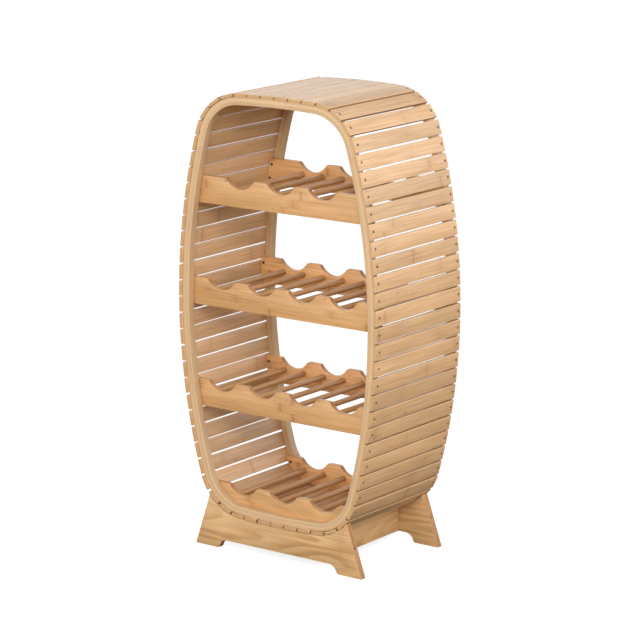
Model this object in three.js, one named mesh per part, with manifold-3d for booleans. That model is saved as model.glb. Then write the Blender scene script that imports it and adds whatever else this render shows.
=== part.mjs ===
// Barrel-shaped bamboo wine rack. Millimetres, +Z up, front facing -Y, origin on the floor under the middle.
// Two bent ring frames carry a skin of flat slats all round, four shelves of scalloped boards and dowels
// are screwed to the rings, and two cradle-topped foot boards with side stretchers hold the drum.
import * as THREE from "three";
import { mergeVertices } from "three/addons/utils/BufferGeometryUtils.js";
import Module from "manifold-3d";

const wasm = await Module();
wasm.setup();

// Fits.
const REST_GAP = 0.3; // between pieces that rest on or are screwed to one another
const SOCKET_CLEARANCE = 0.3; // dowel in its blind socket, on the radius

// Drum, measured over the outside of the slats.
const DRUM_WIDTH = 435;
const DRUM_HEIGHT = 769;
const CROWN_RADIUS = 1675; // nearly flat top and bottom
const CORNER_RADIUS = 96.6;
const SIDE_RADIUS = 1108; // slow bow of the sides
const DRUM_CLEARANCE_BELOW = 61; // floor to the lowest slat

// Slats.
const SLAT_LENGTH = 254;
const SLAT_WIDTH = 27;
const SLAT_THICKNESS = 6;
const SLAT_SPACE = 2.6; // nominal space between neighbours at the ring
const PANEL_COUNT = 18;
const WEB_THICKNESS = 1;
const WEB_OVERLAP = 0.8; // how far a web reaches into each slat

// Rings.
const RING_DEPTH = 15; // along Y
const RING_THICKNESS = 14; // square to the outline
const FRONT_OVERHANG = 2.7; // slat ends past the front ring
const REAR_OVERHANG = 0.5;

// Shelves.
const SHELF_BOTTLES = [3, 4, 4, 3]; // bottom shelf first
const BOARD_THICKNESS = 10;
const BOARD_UNDER_CRADLE = 32; // wood left below a cradle
const CRADLE_RADIUS = 36;
const CRADLE_DEPTH = 17.5;
const SHOULDER_RADIUS = 6;
const END_LAND = 17.2; // flat left outside the last cradle, where the drum is widest
const FIRST_CRADLE_HEIGHT = 18.7; // lowest cradle above the inside of the ring
const HEADROOM = 153.8; // top cradles to the inside of the ring
const DOWEL_DIAMETER = 10;
const DOWEL_DROP = 5; // dowel centre below the bottom of the cradle
const DOWEL_SHARE = 0.25; // dowel offset from the cradle centre, as a share of the bottle pitch
const SOCKET_DEPTH = 6;

// Base.
const FOOT_THICKNESS = 13;
const FOOT_INSET = 31.5; // foot tip in from the widest point of the drum
const FOOT_LEAN = 0.35; // end faces lean in by this much per unit of height
const REAR_FOOT_SETBACK = 9; // rear board in from the slat ends
const FOOT_LENGTH = 54; // sole of each foot, along X
const ARCH_HEIGHT = 16;
const ARCH_RADIUS = 17;
const CRADLE_GAP = 1.25; // base to drum outline, clears the slat corners
const STRETCHER_THICKNESS = 13;
const STRETCHER_INSET = 16; // outer face in from the start of the arch's round
const POCKET_WIDTH = 6; // driver channel milled in each end face
const POCKET_DEPTH = 3.5;
const POCKET_TOP_SHARE = 0.52; // the channel starts this far up the end face

// Facets.
const CROWN_STEPS = 3;
const CORNER_STEPS = 8;
const SIDE_STEPS = 7;
const CRADLE_STEPS = 6;
const SHOULDER_STEPS = 2;
const END_STEPS = 2;
const ARCH_STEPS = 4;
const DOWEL_SIDES = 12;
const MERGE_MM = 1e-4;
const ON_AXIS_MM = 1e-6;
const SKIP_MM = 1; // outline points closer than this to a corner are left out
const HALVINGS = 60;

// Derived sizes.
const halfWidth = DRUM_WIDTH / 2;
const halfHeight = DRUM_HEIGHT / 2;
const drumCentreZ = DRUM_CLEARANCE_BELOW + halfHeight;
const frontY = -SLAT_LENGTH / 2;
const rearY = SLAT_LENGTH / 2;
const ringOuterInset = SLAT_THICKNESS + REST_GAP;
const ringInnerInset = ringOuterInset + RING_THICKNESS;
const frontRingY = [frontY + FRONT_OVERHANG, frontY + FRONT_OVERHANG + RING_DEPTH];
const rearRingY = [rearY - REAR_OVERHANG - RING_DEPTH, rearY - REAR_OVERHANG];
const bottlePitch = (2 * (halfWidth - ringInnerInset - END_LAND)) / Math.max(...SHELF_BOTTLES);
const firstCradleZ = drumCentreZ - halfHeight + ringInnerInset + FIRST_CRADLE_HEIGHT;
const lastCradleZ = drumCentreZ + halfHeight - ringInnerInset - HEADROOM;
const shelfPitch = (lastCradleZ - firstCradleZ) / (SHELF_BOTTLES.length - 1);
const shoulderRun = Math.sqrt(
  (CRADLE_RADIUS + SHOULDER_RADIUS) ** 2 - (CRADLE_RADIUS - CRADLE_DEPTH + SHOULDER_RADIUS) ** 2,
);
const footHalf = halfWidth - FOOT_INSET;
const archFoot = footHalf - FOOT_LENGTH;

// The drum outline is one quarter of three tangent arcs, mirrored. Its corner centre is where circles
// about the crown and side centres, shortened by the corner radius, cross.
const crownCentre = new THREE.Vector2(0, halfHeight - CROWN_RADIUS);
const sideCentre = new THREE.Vector2(halfWidth - SIDE_RADIUS, 0);

function cornerCentre() {
  const a = CROWN_RADIUS - CORNER_RADIUS;
  const b = SIDE_RADIUS - CORNER_RADIUS;
  const across = sideCentre.clone().sub(crownCentre);
  const span = across.length();
  const along = (a * a - b * b + span * span) / (2 * span);
  const off = Math.sqrt(a * a - along * along);
  const e = across.divideScalar(span);
  const left = new THREE.Vector2(
    crownCentre.x + along * e.x - off * e.y,
    crownCentre.y + along * e.y + off * e.x,
  );
  const right = new THREE.Vector2(
    crownCentre.x + along * e.x + off * e.y,
    crownCentre.y + along * e.y - off * e.x,
  );
  return left.x > right.x ? left : right;
}

const corner = cornerCentre();
const crownEnd = Math.atan2(corner.y - crownCentre.y, corner.x - crownCentre.x);
const sideEnd = Math.atan2(corner.y - sideCentre.y, corner.x - sideCentre.x);

// The three arcs of the quarter, from the crown's middle round to the side's middle.
function quarterArcs(inset) {
  return [
    { c: crownCentre, r: CROWN_RADIUS - inset, from: Math.PI / 2, to: crownEnd, steps: CROWN_STEPS },
    { c: corner, r: CORNER_RADIUS - inset, from: crownEnd, to: sideEnd, steps: CORNER_STEPS },
    { c: sideCentre, r: SIDE_RADIUS - inset, from: sideEnd, to: 0, steps: SIDE_STEPS },
  ];
}

function onArc(arc, angle) {
  return [arc.c.x + arc.r * Math.cos(angle), arc.c.y + arc.r * Math.sin(angle)];
}

// Points of one quarter, crown middle first, relative to the drum centre.
function quarterOutline(inset) {
  const points = [];
  for (const arc of quarterArcs(inset)) {
    for (let i = points.length ? 1 : 0; i <= arc.steps; i++) {
      points.push(onArc(arc, arc.from + ((arc.to - arc.from) * i) / arc.steps));
    }
  }
  return points;
}

function fullOutline(inset) {
  const q = quarterOutline(inset);
  const back = q.slice(1, -1).reverse();
  return [
    ...q,
    ...back.map(([x, z]) => [x, -z]),
    ...q.map(([x, z]) => [-x, -z]),
    ...back.map(([x, z]) => [-x, z]),
  ].filter(([x, z], i, all) => {
    const [px, pz] = all[(i + all.length - 1) % all.length];
    return Math.hypot(x - px, z - pz) > ON_AXIS_MM;
  });
}

// Half width of the outline at a height above or below the drum centre.
function halfWidthAt(inset, h) {
  const [, cornerArc, sideArc] = quarterArcs(inset);
  const rise = Math.abs(h);
  const arc = rise < onArc(sideArc, sideEnd)[1] ? sideArc : cornerArc;
  return arc.c.x + Math.sqrt(arc.r ** 2 - (rise - arc.c.y) ** 2);
}

// Place and outward direction at a distance clockwise round the outline from the crown's middle.
function alongOutline(inset, distance) {
  const arcs = quarterArcs(inset);
  const lengths = arcs.map((arc) => arc.r * (arc.from - arc.to));
  const quarter = lengths.reduce((sum, length) => sum + length, 0);
  const turn = ((distance % (4 * quarter)) + 4 * quarter) % (4 * quarter);
  const quadrant = Math.floor(turn / quarter);
  let left = quadrant % 2 ? quarter - (turn % quarter) : turn % quarter;
  let k = 0;
  while (k < arcs.length - 1 && left > lengths[k]) {
    left -= lengths[k];
    k += 1;
  }
  const angle = arcs[k].from - left / arcs[k].r;
  const [x, z] = onArc(arcs[k], angle);
  const sx = quadrant < 2 ? 1 : -1;
  const sz = quadrant === 0 || quadrant === 3 ? 1 : -1;
  return { x: sx * x, z: sz * z, nx: sx * Math.cos(angle), nz: sz * Math.sin(angle) };
}

function outlineLength(inset) {
  return 4 * quarterArcs(inset).reduce((sum, arc) => sum + arc.r * (arc.from - arc.to), 0);
}

// Solids.
function toSolid(geometry) {
  const g = geometry.clone();
  g.deleteAttribute("normal");
  g.deleteAttribute("uv");
  const merged = mergeVertices(g, MERGE_MM);
  return new wasm.Manifold(
    new wasm.Mesh({
      numProp: 3,
      vertProperties: merged.attributes.position.array,
      triVerts: new Uint32Array(merged.index.array),
    }),
  );
}

function toGeometry(solid) {
  const m = solid.getMesh();
  const g = new THREE.BufferGeometry();
  g.setAttribute("position", new THREE.BufferAttribute(Float32Array.from(m.vertProperties), 3));
  g.setIndex(new THREE.BufferAttribute(Uint32Array.from(m.triVerts), 1));
  g.computeVertexNormals();
  return g;
}

// A profile in X and Z drawn out along Y.
function prism(points, yFrom, yTo, hole) {
  const shape = new THREE.Shape(points.map(([x, z]) => new THREE.Vector2(x, z)));
  if (hole) shape.holes.push(new THREE.Path(hole.map(([x, z]) => new THREE.Vector2(x, z))));
  const g = new THREE.ExtrudeGeometry(shape, { depth: yTo - yFrom, bevelEnabled: false });
  g.rotateX(Math.PI / 2);
  g.translate(0, yTo, 0);
  return g;
}

function raise(points) {
  return points.map(([x, z]) => [x, z + drumCentreZ]);
}

const group = new THREE.Group();
group.name = "wine_rack";
const bamboo = { color: 0xdcae78, roughness: 0.55 };

function addPiece(name, geometry) {
  const mesh = new THREE.Mesh(geometry, new THREE.MeshStandardMaterial(bamboo));
  mesh.name = name;
  group.add(mesh);
}

// Ring frames.
for (const [name, [from, to]] of [
  ["front_ring", frontRingY],
  ["rear_ring", rearRingY],
]) {
  const outer = raise(fullOutline(ringOuterInset));
  const inner = raise(fullOutline(ringInnerInset));
  addPiece(name, prism(outer, from, to, inner.reverse()));
}

// Slat panels: flat slats square to the ring, tied by a thin web over each ring so a panel is one body.
const slatPath = outlineLength(ringOuterInset);
const slatCount = Math.round(slatPath / (SLAT_WIDTH + SLAT_SPACE));
const slatStep = slatPath / slatCount;

function barOnRing(distance, width, thickness, lift, yFrom, yTo) {
  const at = alongOutline(ringOuterInset, distance);
  const g = new THREE.BoxGeometry(width, yTo - yFrom, thickness);
  g.rotateY(Math.atan2(at.nx, at.nz));
  const out = lift + thickness / 2;
  g.translate(at.x + at.nx * out, (yFrom + yTo) / 2, at.z + at.nz * out + drumCentreZ);
  return toSolid(g);
}

function webWidth(distance) {
  const before = alongOutline(ringOuterInset, distance - slatStep / 2);
  const after = alongOutline(ringOuterInset, distance + slatStep / 2);
  const chord = Math.hypot(after.x - before.x, after.z - before.z);
  return chord - SLAT_WIDTH + 2 * WEB_OVERLAP;
}

for (let p = 0; p < PANEL_COUNT; p++) {
  const first = Math.floor((p * slatCount) / PANEL_COUNT);
  const last = Math.floor(((p + 1) * slatCount) / PANEL_COUNT) - 1;
  let panel = null;
  for (let k = first; k <= last; k++) {
    const middle = (k + 0.5) * slatStep;
    const slat = barOnRing(middle, SLAT_WIDTH, SLAT_THICKNESS, REST_GAP, frontY, rearY);
    panel = panel ? panel.add(slat) : slat;
    if (k === last) continue;
    const between = middle + slatStep / 2;
    for (const [from, to] of [frontRingY, rearRingY]) {
      const lift = REST_GAP + WEB_OVERLAP;
      panel = panel.add(barOnRing(between, webWidth(between), WEB_THICKNESS, lift, from, to));
    }
  }
  addPiece("slat_panel_" + String(p + 1).padStart(2, "0"), toGeometry(panel));
}

// Scalloped boards.
function cradlePoints(centreX, bottomZ) {
  const centreZ = bottomZ + CRADLE_RADIUS;
  const top = bottomZ + CRADLE_DEPTH;
  const shoulderZ = top - SHOULDER_RADIUS;
  const meet = Math.atan2(shoulderZ - centreZ, shoulderRun);
  const sweep = Math.PI / 2 + meet;
  const shoulder = (side, i) => {
    const a = Math.PI / 2 + (sweep * i) / SHOULDER_STEPS;
    const x = shoulderRun + Math.cos(a) * SHOULDER_RADIUS;
    return [centreX + side * x, shoulderZ + Math.sin(a) * SHOULDER_RADIUS];
  };
  const points = [];
  for (let i = 0; i < SHOULDER_STEPS; i++) points.push(shoulder(-1, i));
  for (let i = 0; i <= CRADLE_STEPS; i++) {
    const a = Math.PI - meet + ((Math.PI + 2 * meet) * i) / CRADLE_STEPS;
    points.push([centreX + Math.cos(a) * CRADLE_RADIUS, centreZ + Math.sin(a) * CRADLE_RADIUS]);
  }
  for (let i = SHOULDER_STEPS - 1; i >= 0; i--) points.push(shoulder(1, i));
  return points;
}

const boardEndInset = ringOuterInset + REST_GAP;

// The right-hand edge of a board, from its top down to its lower edge.
function boardEnd(topZ, lowZ) {
  const points = [];
  for (let i = 0; i <= END_STEPS; i++) {
    const z = topZ + ((lowZ - topZ) * i) / END_STEPS;
    points.push([halfWidthAt(boardEndInset, z - drumCentreZ), z]);
  }
  return points;
}

// The bottom boards follow the ring down and under.
function bottomBoardEdge(topZ) {
  const below = quarterOutline(boardEndInset)
    .map(([x, z]) => [x, drumCentreZ - z])
    .filter(([, z]) => z < topZ - SKIP_MM)
    .reverse();
  return [[halfWidthAt(boardEndInset, topZ - drumCentreZ), topZ], ...below];
}

const dowelRadius = DOWEL_DIAMETER / 2;
const frontBoardY = [frontRingY[1] + REST_GAP, frontRingY[1] + REST_GAP + BOARD_THICKNESS];
const rearBoardY = [rearRingY[0] - REST_GAP - BOARD_THICKNESS, rearRingY[0] - REST_GAP];

function rod(x, z, radius, yFrom, yTo) {
  const g = new THREE.CylinderGeometry(radius, radius, yTo - yFrom, DOWEL_SIDES);
  g.translate(x, (yFrom + yTo) / 2, z);
  return g;
}

SHELF_BOTTLES.forEach((bottles, level) => {
  const cradleZ = firstCradleZ + level * shelfPitch;
  const topZ = cradleZ + CRADLE_DEPTH;
  const right = level ? boardEnd(topZ, cradleZ - BOARD_UNDER_CRADLE) : bottomBoardEdge(topZ);
  const left = right
    .slice()
    .reverse()
    .filter(([x]) => x > ON_AXIS_MM)
    .map(([x, z]) => [-x, z]);
  const cradles = [];
  const dowels = [];
  for (let i = 0; i < bottles; i++) {
    const x = (i - (bottles - 1) / 2) * bottlePitch;
    cradles.push(...cradlePoints(x, cradleZ));
    dowels.push(x - bottlePitch * DOWEL_SHARE, x + bottlePitch * DOWEL_SHARE);
  }
  const profile = [...left, ...cradles, ...right];
  const dowelZ = cradleZ - DOWEL_DROP;
  const shelf = "shelf_" + (level + 1);
  const socketsFrom = frontBoardY[1] - SOCKET_DEPTH;
  const socketsTo = rearBoardY[0] + SOCKET_DEPTH;
  let front = toSolid(prism(profile, ...frontBoardY));
  let rear = toSolid(prism(profile, ...rearBoardY));
  dowels.forEach((x, i) => {
    const drill = toSolid(rod(x, dowelZ, dowelRadius + SOCKET_CLEARANCE, socketsFrom, socketsTo));
    front = front.subtract(drill);
    rear = rear.subtract(drill);
    const from = socketsFrom + REST_GAP;
    const to = socketsTo - REST_GAP;
    addPiece(shelf + "_dowel_" + (i + 1), rod(x, dowelZ, dowelRadius, from, to));
  });
  addPiece(shelf + "_front_board", toGeometry(front));
  addPiece(shelf + "_rear_board", toGeometry(rear));
});

// Base. The cradle follows the drum outline a little outside it.
const cradleOutline = quarterOutline(-CRADLE_GAP).map(([x, z]) => [x, drumCentreZ - z]);

function footEndX(z) {
  return footHalf - FOOT_LEAN * z;
}

// Where the leaning end face runs into the drum outline.
function footTip() {
  const [, cornerArc] = quarterArcs(-CRADLE_GAP);
  let low = sideEnd;
  let high = crownEnd;
  for (let i = 0; i < HALVINGS; i++) {
    const mid = (low + high) / 2;
    const [x, z] = onArc(cornerArc, mid);
    if (x > footEndX(drumCentreZ - z)) low = mid;
    else high = mid;
  }
  const [x, z] = onArc(cornerArc, (low + high) / 2);
  return [x, drumCentreZ - z];
}

const tip = footTip();

function footProfile() {
  const right = [[0, ARCH_HEIGHT]];
  const arcStart = archFoot - ARCH_RADIUS;
  const arcEnd = Math.asin((ARCH_HEIGHT - ARCH_RADIUS) / ARCH_RADIUS);
  for (let i = 0; i <= ARCH_STEPS; i++) {
    const a = Math.PI / 2 + ((-arcEnd - Math.PI / 2) * i) / ARCH_STEPS;
    const x = arcStart + Math.cos(a) * ARCH_RADIUS;
    const z = ARCH_HEIGHT - ARCH_RADIUS + Math.sin(a) * ARCH_RADIUS;
    right.push([x, i === ARCH_STEPS ? 0 : z]);
  }
  right.push([footHalf, 0], tip);
  right.push(...cradleOutline.filter(([x, z]) => z < tip[1] - SKIP_MM && x < tip[0]).reverse());
  const left = right
    .filter(([x]) => x > ON_AXIS_MM)
    .map(([x, z]) => [-x, z])
    .reverse();
  return [...right, ...left];
}

function endPocket(side, yMiddle) {
  const lean = Math.atan(FOOT_LEAN);
  const startZ = tip[1] * POCKET_TOP_SHARE;
  const run = (2 * (tip[1] - startZ)) / Math.cos(lean);
  const g = new THREE.BoxGeometry(2 * POCKET_DEPTH, POCKET_WIDTH, run);
  g.rotateY(-lean * side);
  const middleZ = startZ + (run / 2) * Math.cos(lean);
  g.translate(side * footEndX(middleZ), yMiddle, middleZ);
  return toSolid(g);
}

const frontFootY = [frontY, frontY + FOOT_THICKNESS];
const rearFootY = [rearY - REAR_FOOT_SETBACK - FOOT_THICKNESS, rearY - REAR_FOOT_SETBACK];
for (const [name, [from, to]] of [
  ["front_foot_board", frontFootY],
  ["rear_foot_board", rearFootY],
]) {
  let board = toSolid(prism(footProfile(), from, to));
  for (const side of [-1, 1]) board = board.subtract(endPocket(side, (from + to) / 2));
  addPiece(name, toGeometry(board));
}

const stretcherOuter = archFoot - ARCH_RADIUS - STRETCHER_INSET;
const stretcherTop = drumCentreZ - onArc(
  quarterArcs(-CRADLE_GAP)[0],
  Math.acos((stretcherOuter - STRETCHER_THICKNESS) / (CROWN_RADIUS + CRADLE_GAP)),
)[1];
for (const [name, side] of [
  ["left_stretcher", -1],
  ["right_stretcher", 1],
]) {
  const length = rearFootY[0] - frontFootY[1] - 2 * REST_GAP;
  const g = new THREE.BoxGeometry(STRETCHER_THICKNESS, length, stretcherTop - ARCH_HEIGHT);
  g.translate(
    side * (stretcherOuter - STRETCHER_THICKNESS / 2),
    (frontFootY[1] + rearFootY[0]) / 2,
    (stretcherTop + ARCH_HEIGHT) / 2,
  );
  addPiece(name, g);
}

export default group;
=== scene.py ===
"""A barrel-shaped bamboo wine rack.

Two bent rings carry a skin of nailed slats. Four shelves of scalloped boards and dowels are screwed to the
rings, and two cradle-topped foot boards tied by stretchers hold the drum. Metres, +Z up, front facing -Y.
"""
import logging
import math
import random
from collections.abc import Callable, Iterable, Mapping, Sequence
from dataclasses import dataclass
from enum import Enum

import bpy
import numpy as np
from mathutils import Matrix, Vector


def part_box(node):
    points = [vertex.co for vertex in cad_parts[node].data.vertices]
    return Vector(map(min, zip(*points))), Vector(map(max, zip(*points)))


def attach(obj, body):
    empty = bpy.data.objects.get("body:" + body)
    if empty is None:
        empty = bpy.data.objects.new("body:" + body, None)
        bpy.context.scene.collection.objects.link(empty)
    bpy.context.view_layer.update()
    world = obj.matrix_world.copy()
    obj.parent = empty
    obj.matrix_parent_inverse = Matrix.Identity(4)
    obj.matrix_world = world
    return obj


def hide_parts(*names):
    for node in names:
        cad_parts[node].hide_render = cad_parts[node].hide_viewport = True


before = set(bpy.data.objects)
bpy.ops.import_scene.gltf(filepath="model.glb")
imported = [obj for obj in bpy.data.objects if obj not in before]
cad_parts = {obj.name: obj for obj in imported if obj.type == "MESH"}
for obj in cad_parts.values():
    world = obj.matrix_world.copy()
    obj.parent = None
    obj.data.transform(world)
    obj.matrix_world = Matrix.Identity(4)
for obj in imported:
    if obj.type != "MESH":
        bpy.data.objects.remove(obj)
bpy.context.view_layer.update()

MM = 0.001
TOUCH = 0.01 * MM
BODY = "root"
RING_INSET = 6.3 * MM
SHELF_END_INSET = 6.6 * MM
SHELF_SCREW_INSET = 12 * MM
BOTTLES_BY_SHELF = (3, 4, 4, 3)
LOT_SEED = 2026
Point = tuple[float, float]
Colour = tuple[float, float, float]
Socket = bpy.types.NodeSocket
log = logging.getLogger("wine_rack")


def linear(red: float, green: float, blue: float) -> tuple[float, float, float, float]:
    """Turns a display colour into the linear colour that shaders take.

    Args:
        red: Red from 0 to 255.
        green: Green from 0 to 255.
        blue: Blue from 0 to 255.

    Returns:
        The linear colour with full alpha.
    """
    parts = [c / 255 for c in (red, green, blue)]
    low = [c / 12.92 if c <= 0.04045 else ((c + 0.055) / 1.055) ** 2.4 for c in parts]
    return (*low, 1.0)


# Modelling in edit mode


def deselect_all() -> None:
    """Leaves object mode with nothing selected."""
    if bpy.context.object and bpy.context.object.mode != "OBJECT":
        bpy.ops.object.mode_set(mode="OBJECT")
    bpy.ops.object.select_all(action="DESELECT")


def only(piece: bpy.types.Object, *others: bpy.types.Object) -> None:
    """Makes one piece active, and selects it with any others.

    Args:
        piece: The piece to make active.
        others: Further pieces to select.
    """
    deselect_all()
    for each in (piece, *others):
        each.select_set(True)
    bpy.context.view_layer.objects.active = piece


def settle(name: str) -> bpy.types.Object:
    """Names the new primitive and moves its place, turn and scale into its mesh.

    Args:
        name: The piece's name.

    Returns:
        The piece, at the origin.
    """
    piece = bpy.context.object
    piece.name = piece.data.name = name
    bpy.ops.object.transform_apply(location=True, rotation=True, scale=True)
    return piece


def block(name: str, size: Sequence[float], middle: Sequence[float]) -> bpy.types.Object:
    """Adds a rectangular block to be shaped further.

    Args:
        name: The block's name.
        size: Its size along X, Y and Z.
        middle: Its middle.

    Returns:
        The block.
    """
    deselect_all()
    bpy.ops.mesh.primitive_cube_add(size=1, location=middle)
    bpy.context.object.scale = size
    return settle(name)


def rod(
    name: str, radius: float, y_from: float, y_to: float, x: float, z: float, sides: int
) -> bpy.types.Object:
    """Adds a round rod that lies along Y, to be shaped further.

    Args:
        name: The rod's name.
        radius: Its radius.
        y_from: Its front end.
        y_to: Its rear end.
        x: Its axis across.
        z: Its axis up.
        sides: How many flats stand for the round.

    Returns:
        The rod.
    """
    deselect_all()
    bpy.ops.mesh.primitive_cylinder_add(
        vertices=sides, radius=radius, depth=y_to - y_from, location=(x, (y_from + y_to) / 2, z),
        rotation=(math.radians(90), 0, 0),
    )
    return settle(name)


def disc(
    name: str, radius: float, depth: float, middle: Sequence[float], sides: int
) -> bpy.types.Object:
    """Adds an upright round disc to be shaped further.

    Args:
        name: The disc's name.
        radius: Its radius.
        depth: Its thickness along Z.
        middle: Its middle.
        sides: How many flats stand for the round.

    Returns:
        The disc.
    """
    deselect_all()
    bpy.ops.mesh.primitive_cylinder_add(vertices=sides, radius=radius, depth=depth, location=middle)
    return settle(name)


def edit_faces(piece: bpy.types.Object, wanted: Callable[[Vector], bool]) -> None:
    """Opens a piece in edit mode with some of its faces selected.

    Args:
        piece: The piece.
        wanted: Says from a face's normal whether it is selected.
    """
    only(piece)
    bpy.ops.object.mode_set(mode="EDIT")
    bpy.ops.mesh.select_mode(type="FACE")
    bpy.ops.mesh.select_all(action="DESELECT")
    bpy.ops.object.mode_set(mode="OBJECT")
    for face in piece.data.polygons:
        face.select = wanted(face.normal)
    bpy.ops.object.mode_set(mode="EDIT")


def edit_edges(piece: bpy.types.Object, wanted: Callable[[Vector, Vector], bool]) -> None:
    """Opens a piece in edit mode with some of its edges selected.

    Args:
        piece: The piece.
        wanted: Says from an edge's two ends whether it is selected.
    """
    only(piece)
    bpy.ops.object.mode_set(mode="EDIT")
    bpy.ops.mesh.select_mode(type="EDGE")
    bpy.ops.mesh.select_all(action="DESELECT")
    bpy.ops.object.mode_set(mode="OBJECT")
    mesh = piece.data
    for edge in mesh.edges:
        edge.select = wanted(*(mesh.vertices[v].co for v in edge.vertices))
    bpy.ops.object.mode_set(mode="EDIT")


def ease_edges(
    piece: bpy.types.Object, wanted: Callable[[Vector, Vector], bool], width: float, segments: int
) -> None:
    """Rounds over some edges of a piece.

    Args:
        piece: The piece.
        wanted: Says from an edge's two ends whether it is rounded.
        width: How wide the rounding is.
        segments: How many flats it has.
    """
    edit_edges(piece, wanted)
    bpy.ops.mesh.bevel(offset=width, segments=segments, affect="EDGES", clamp_overlap=False)
    bpy.ops.object.mode_set(mode="OBJECT")


def ease_by_angle(piece: bpy.types.Object, width: float, segments: int = 2, angle: float = 40) -> None:
    """Rounds over every edge sharper than an angle.

    Args:
        piece: The piece.
        width: How wide the rounding is.
        segments: How many flats it has.
        angle: The angle in degrees.
    """
    only(piece)
    bpy.ops.object.modifier_add(type="BEVEL")
    bevel = piece.modifiers[-1]
    bevel.width, bevel.segments = width, segments
    bevel.limit_method, bevel.angle_limit = "ANGLE", math.radians(angle)
    bevel.use_clamp_overlap = False
    bpy.ops.object.modifier_apply(modifier=bevel.name)


def join(pieces: Sequence[bpy.types.Object], name: str) -> bpy.types.Object:
    """Joins pieces into one.

    Args:
        pieces: The pieces.
        name: The joined piece's name.

    Returns:
        The joined piece.
    """
    only(pieces[0], *pieces[1:])
    if len(pieces) > 1:
        bpy.ops.object.join()
    pieces[0].name = pieces[0].data.name = name
    return pieces[0]


def cut(piece: bpy.types.Object, cutters: Sequence[bpy.types.Object]) -> None:
    """Cuts pieces out of a piece and discards them.

    Args:
        piece: The piece that is cut.
        cutters: Closed pieces that don't meet one another.
    """
    cutter = join(cutters, "cutter")
    only(piece)
    bpy.ops.object.modifier_add(type="BOOLEAN")
    boolean = piece.modifiers[-1]
    boolean.operation, boolean.solver, boolean.object = "DIFFERENCE", "EXACT", cutter
    bpy.ops.object.modifier_apply(modifier=boolean.name)
    bpy.data.objects.remove(cutter)


def face_out(piece: bpy.types.Object) -> None:
    """Merges doubled points and turns every face outwards.

    Args:
        piece: The piece.
    """
    only(piece)
    bpy.ops.object.mode_set(mode="EDIT")
    bpy.ops.mesh.select_all(action="SELECT")
    bpy.ops.mesh.remove_doubles(threshold=TOUCH)
    bpy.ops.mesh.normals_make_consistent(inside=False)
    bpy.ops.object.mode_set(mode="OBJECT")


def smooth(piece: bpy.types.Object, angle: float = 32) -> None:
    """Shades a piece smooth but for edges sharper than an angle in degrees."""
    only(piece)
    bpy.ops.object.shade_smooth_by_angle(angle=math.radians(angle))


def copy_of(master: bpy.types.Object, name: str, place: Matrix) -> bpy.types.Object:
    """Copies a piece with its own mesh.

    Args:
        master: The piece to copy.
        name: The copy's name.
        place: Where the copy goes, put into its mesh.

    Returns:
        The copy.
    """
    made = master.copy()
    made.data = master.data.copy()
    made.name = made.data.name = name
    made.data.transform(place)
    bpy.context.scene.collection.objects.link(made)
    return made


class Outline:
    """A flat outline in X and Z that is drawn from a point, then pulled out along Y."""

    def __init__(self, name: str, start: Point, y: float) -> None:
        """Starts the outline with one point.

        Args:
            name: The piece's name.
            start: The first point, as X and Z.
            y: Where the outline lies.
        """
        deselect_all()
        bpy.ops.mesh.primitive_plane_add(size=MM, location=(start[0], y, start[1]))
        self.piece = settle(name)
        self.y = y
        self.start = self.at = start
        bpy.ops.object.mode_set(mode="EDIT")
        bpy.ops.mesh.select_mode(type="VERT")
        bpy.ops.mesh.select_all(action="SELECT")
        bpy.ops.mesh.merge(type="CENTER")

    def line_to(self, point: Point) -> "Outline":
        """Draws a straight line to a point.

        Args:
            point: Where the line ends, as X and Z.

        Returns:
            The outline.
        """
        move = (point[0] - self.at[0], 0, point[1] - self.at[1])
        bpy.ops.mesh.extrude_region_move(TRANSFORM_OT_translate={"value": move})
        self.at = point
        return self

    def curve_to(self, point: Point, centre: Point, steps: int) -> "Outline":
        """Draws the shorter arc about a centre to a point.

        Args:
            point: Where the arc ends.
            centre: The arc's centre.
            steps: How many short lines stand for the arc.

        Returns:
            The outline.
        """
        was = math.atan2(self.at[1] - centre[1], self.at[0] - centre[0])
        now = math.atan2(point[1] - centre[1], point[0] - centre[0])
        turn = (now - was + math.pi) % math.tau - math.pi
        bpy.ops.mesh.spin(steps=steps, angle=turn, center=(centre[0], self.y, centre[1]), axis=(0, 1, 0))
        self.at = point
        return self

    def pull(self, depth: float) -> bpy.types.Object:
        """Closes the outline and pulls it out along Y.

        Args:
            depth: How far it is pulled.

        Returns:
            The closed piece.
        """
        bpy.ops.mesh.select_all(action="SELECT")
        bpy.ops.mesh.remove_doubles(threshold=0.02 * MM)
        bpy.ops.mesh.select_all(action="SELECT")
        bpy.ops.mesh.edge_face_add()
        bpy.ops.mesh.extrude_region_move(TRANSFORM_OT_translate={"value": (0, depth, 0)})
        bpy.ops.mesh.select_all(action="SELECT")
        bpy.ops.mesh.normals_make_consistent(inside=False)
        bpy.ops.object.mode_set(mode="OBJECT")
        return self.piece


# The drum's outline


@dataclass(frozen=True)
class Arc:
    """One arc of the outline, with angles from +X towards +Z."""

    centre: Point
    radius: float
    start: float
    end: float

    def at(self, angle: float) -> Point:
        """Gives the point at an angle."""
        return self.centre[0] + self.radius * math.cos(angle), self.centre[1] + self.radius * math.sin(angle)

    @property
    def length(self) -> float:
        """The arc's length."""
        return self.radius * abs(self.end - self.start)


@dataclass(frozen=True)
class Spot:
    """A place on the outline and its outward direction, in X and Z."""

    x: float
    z: float
    nx: float
    nz: float


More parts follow.
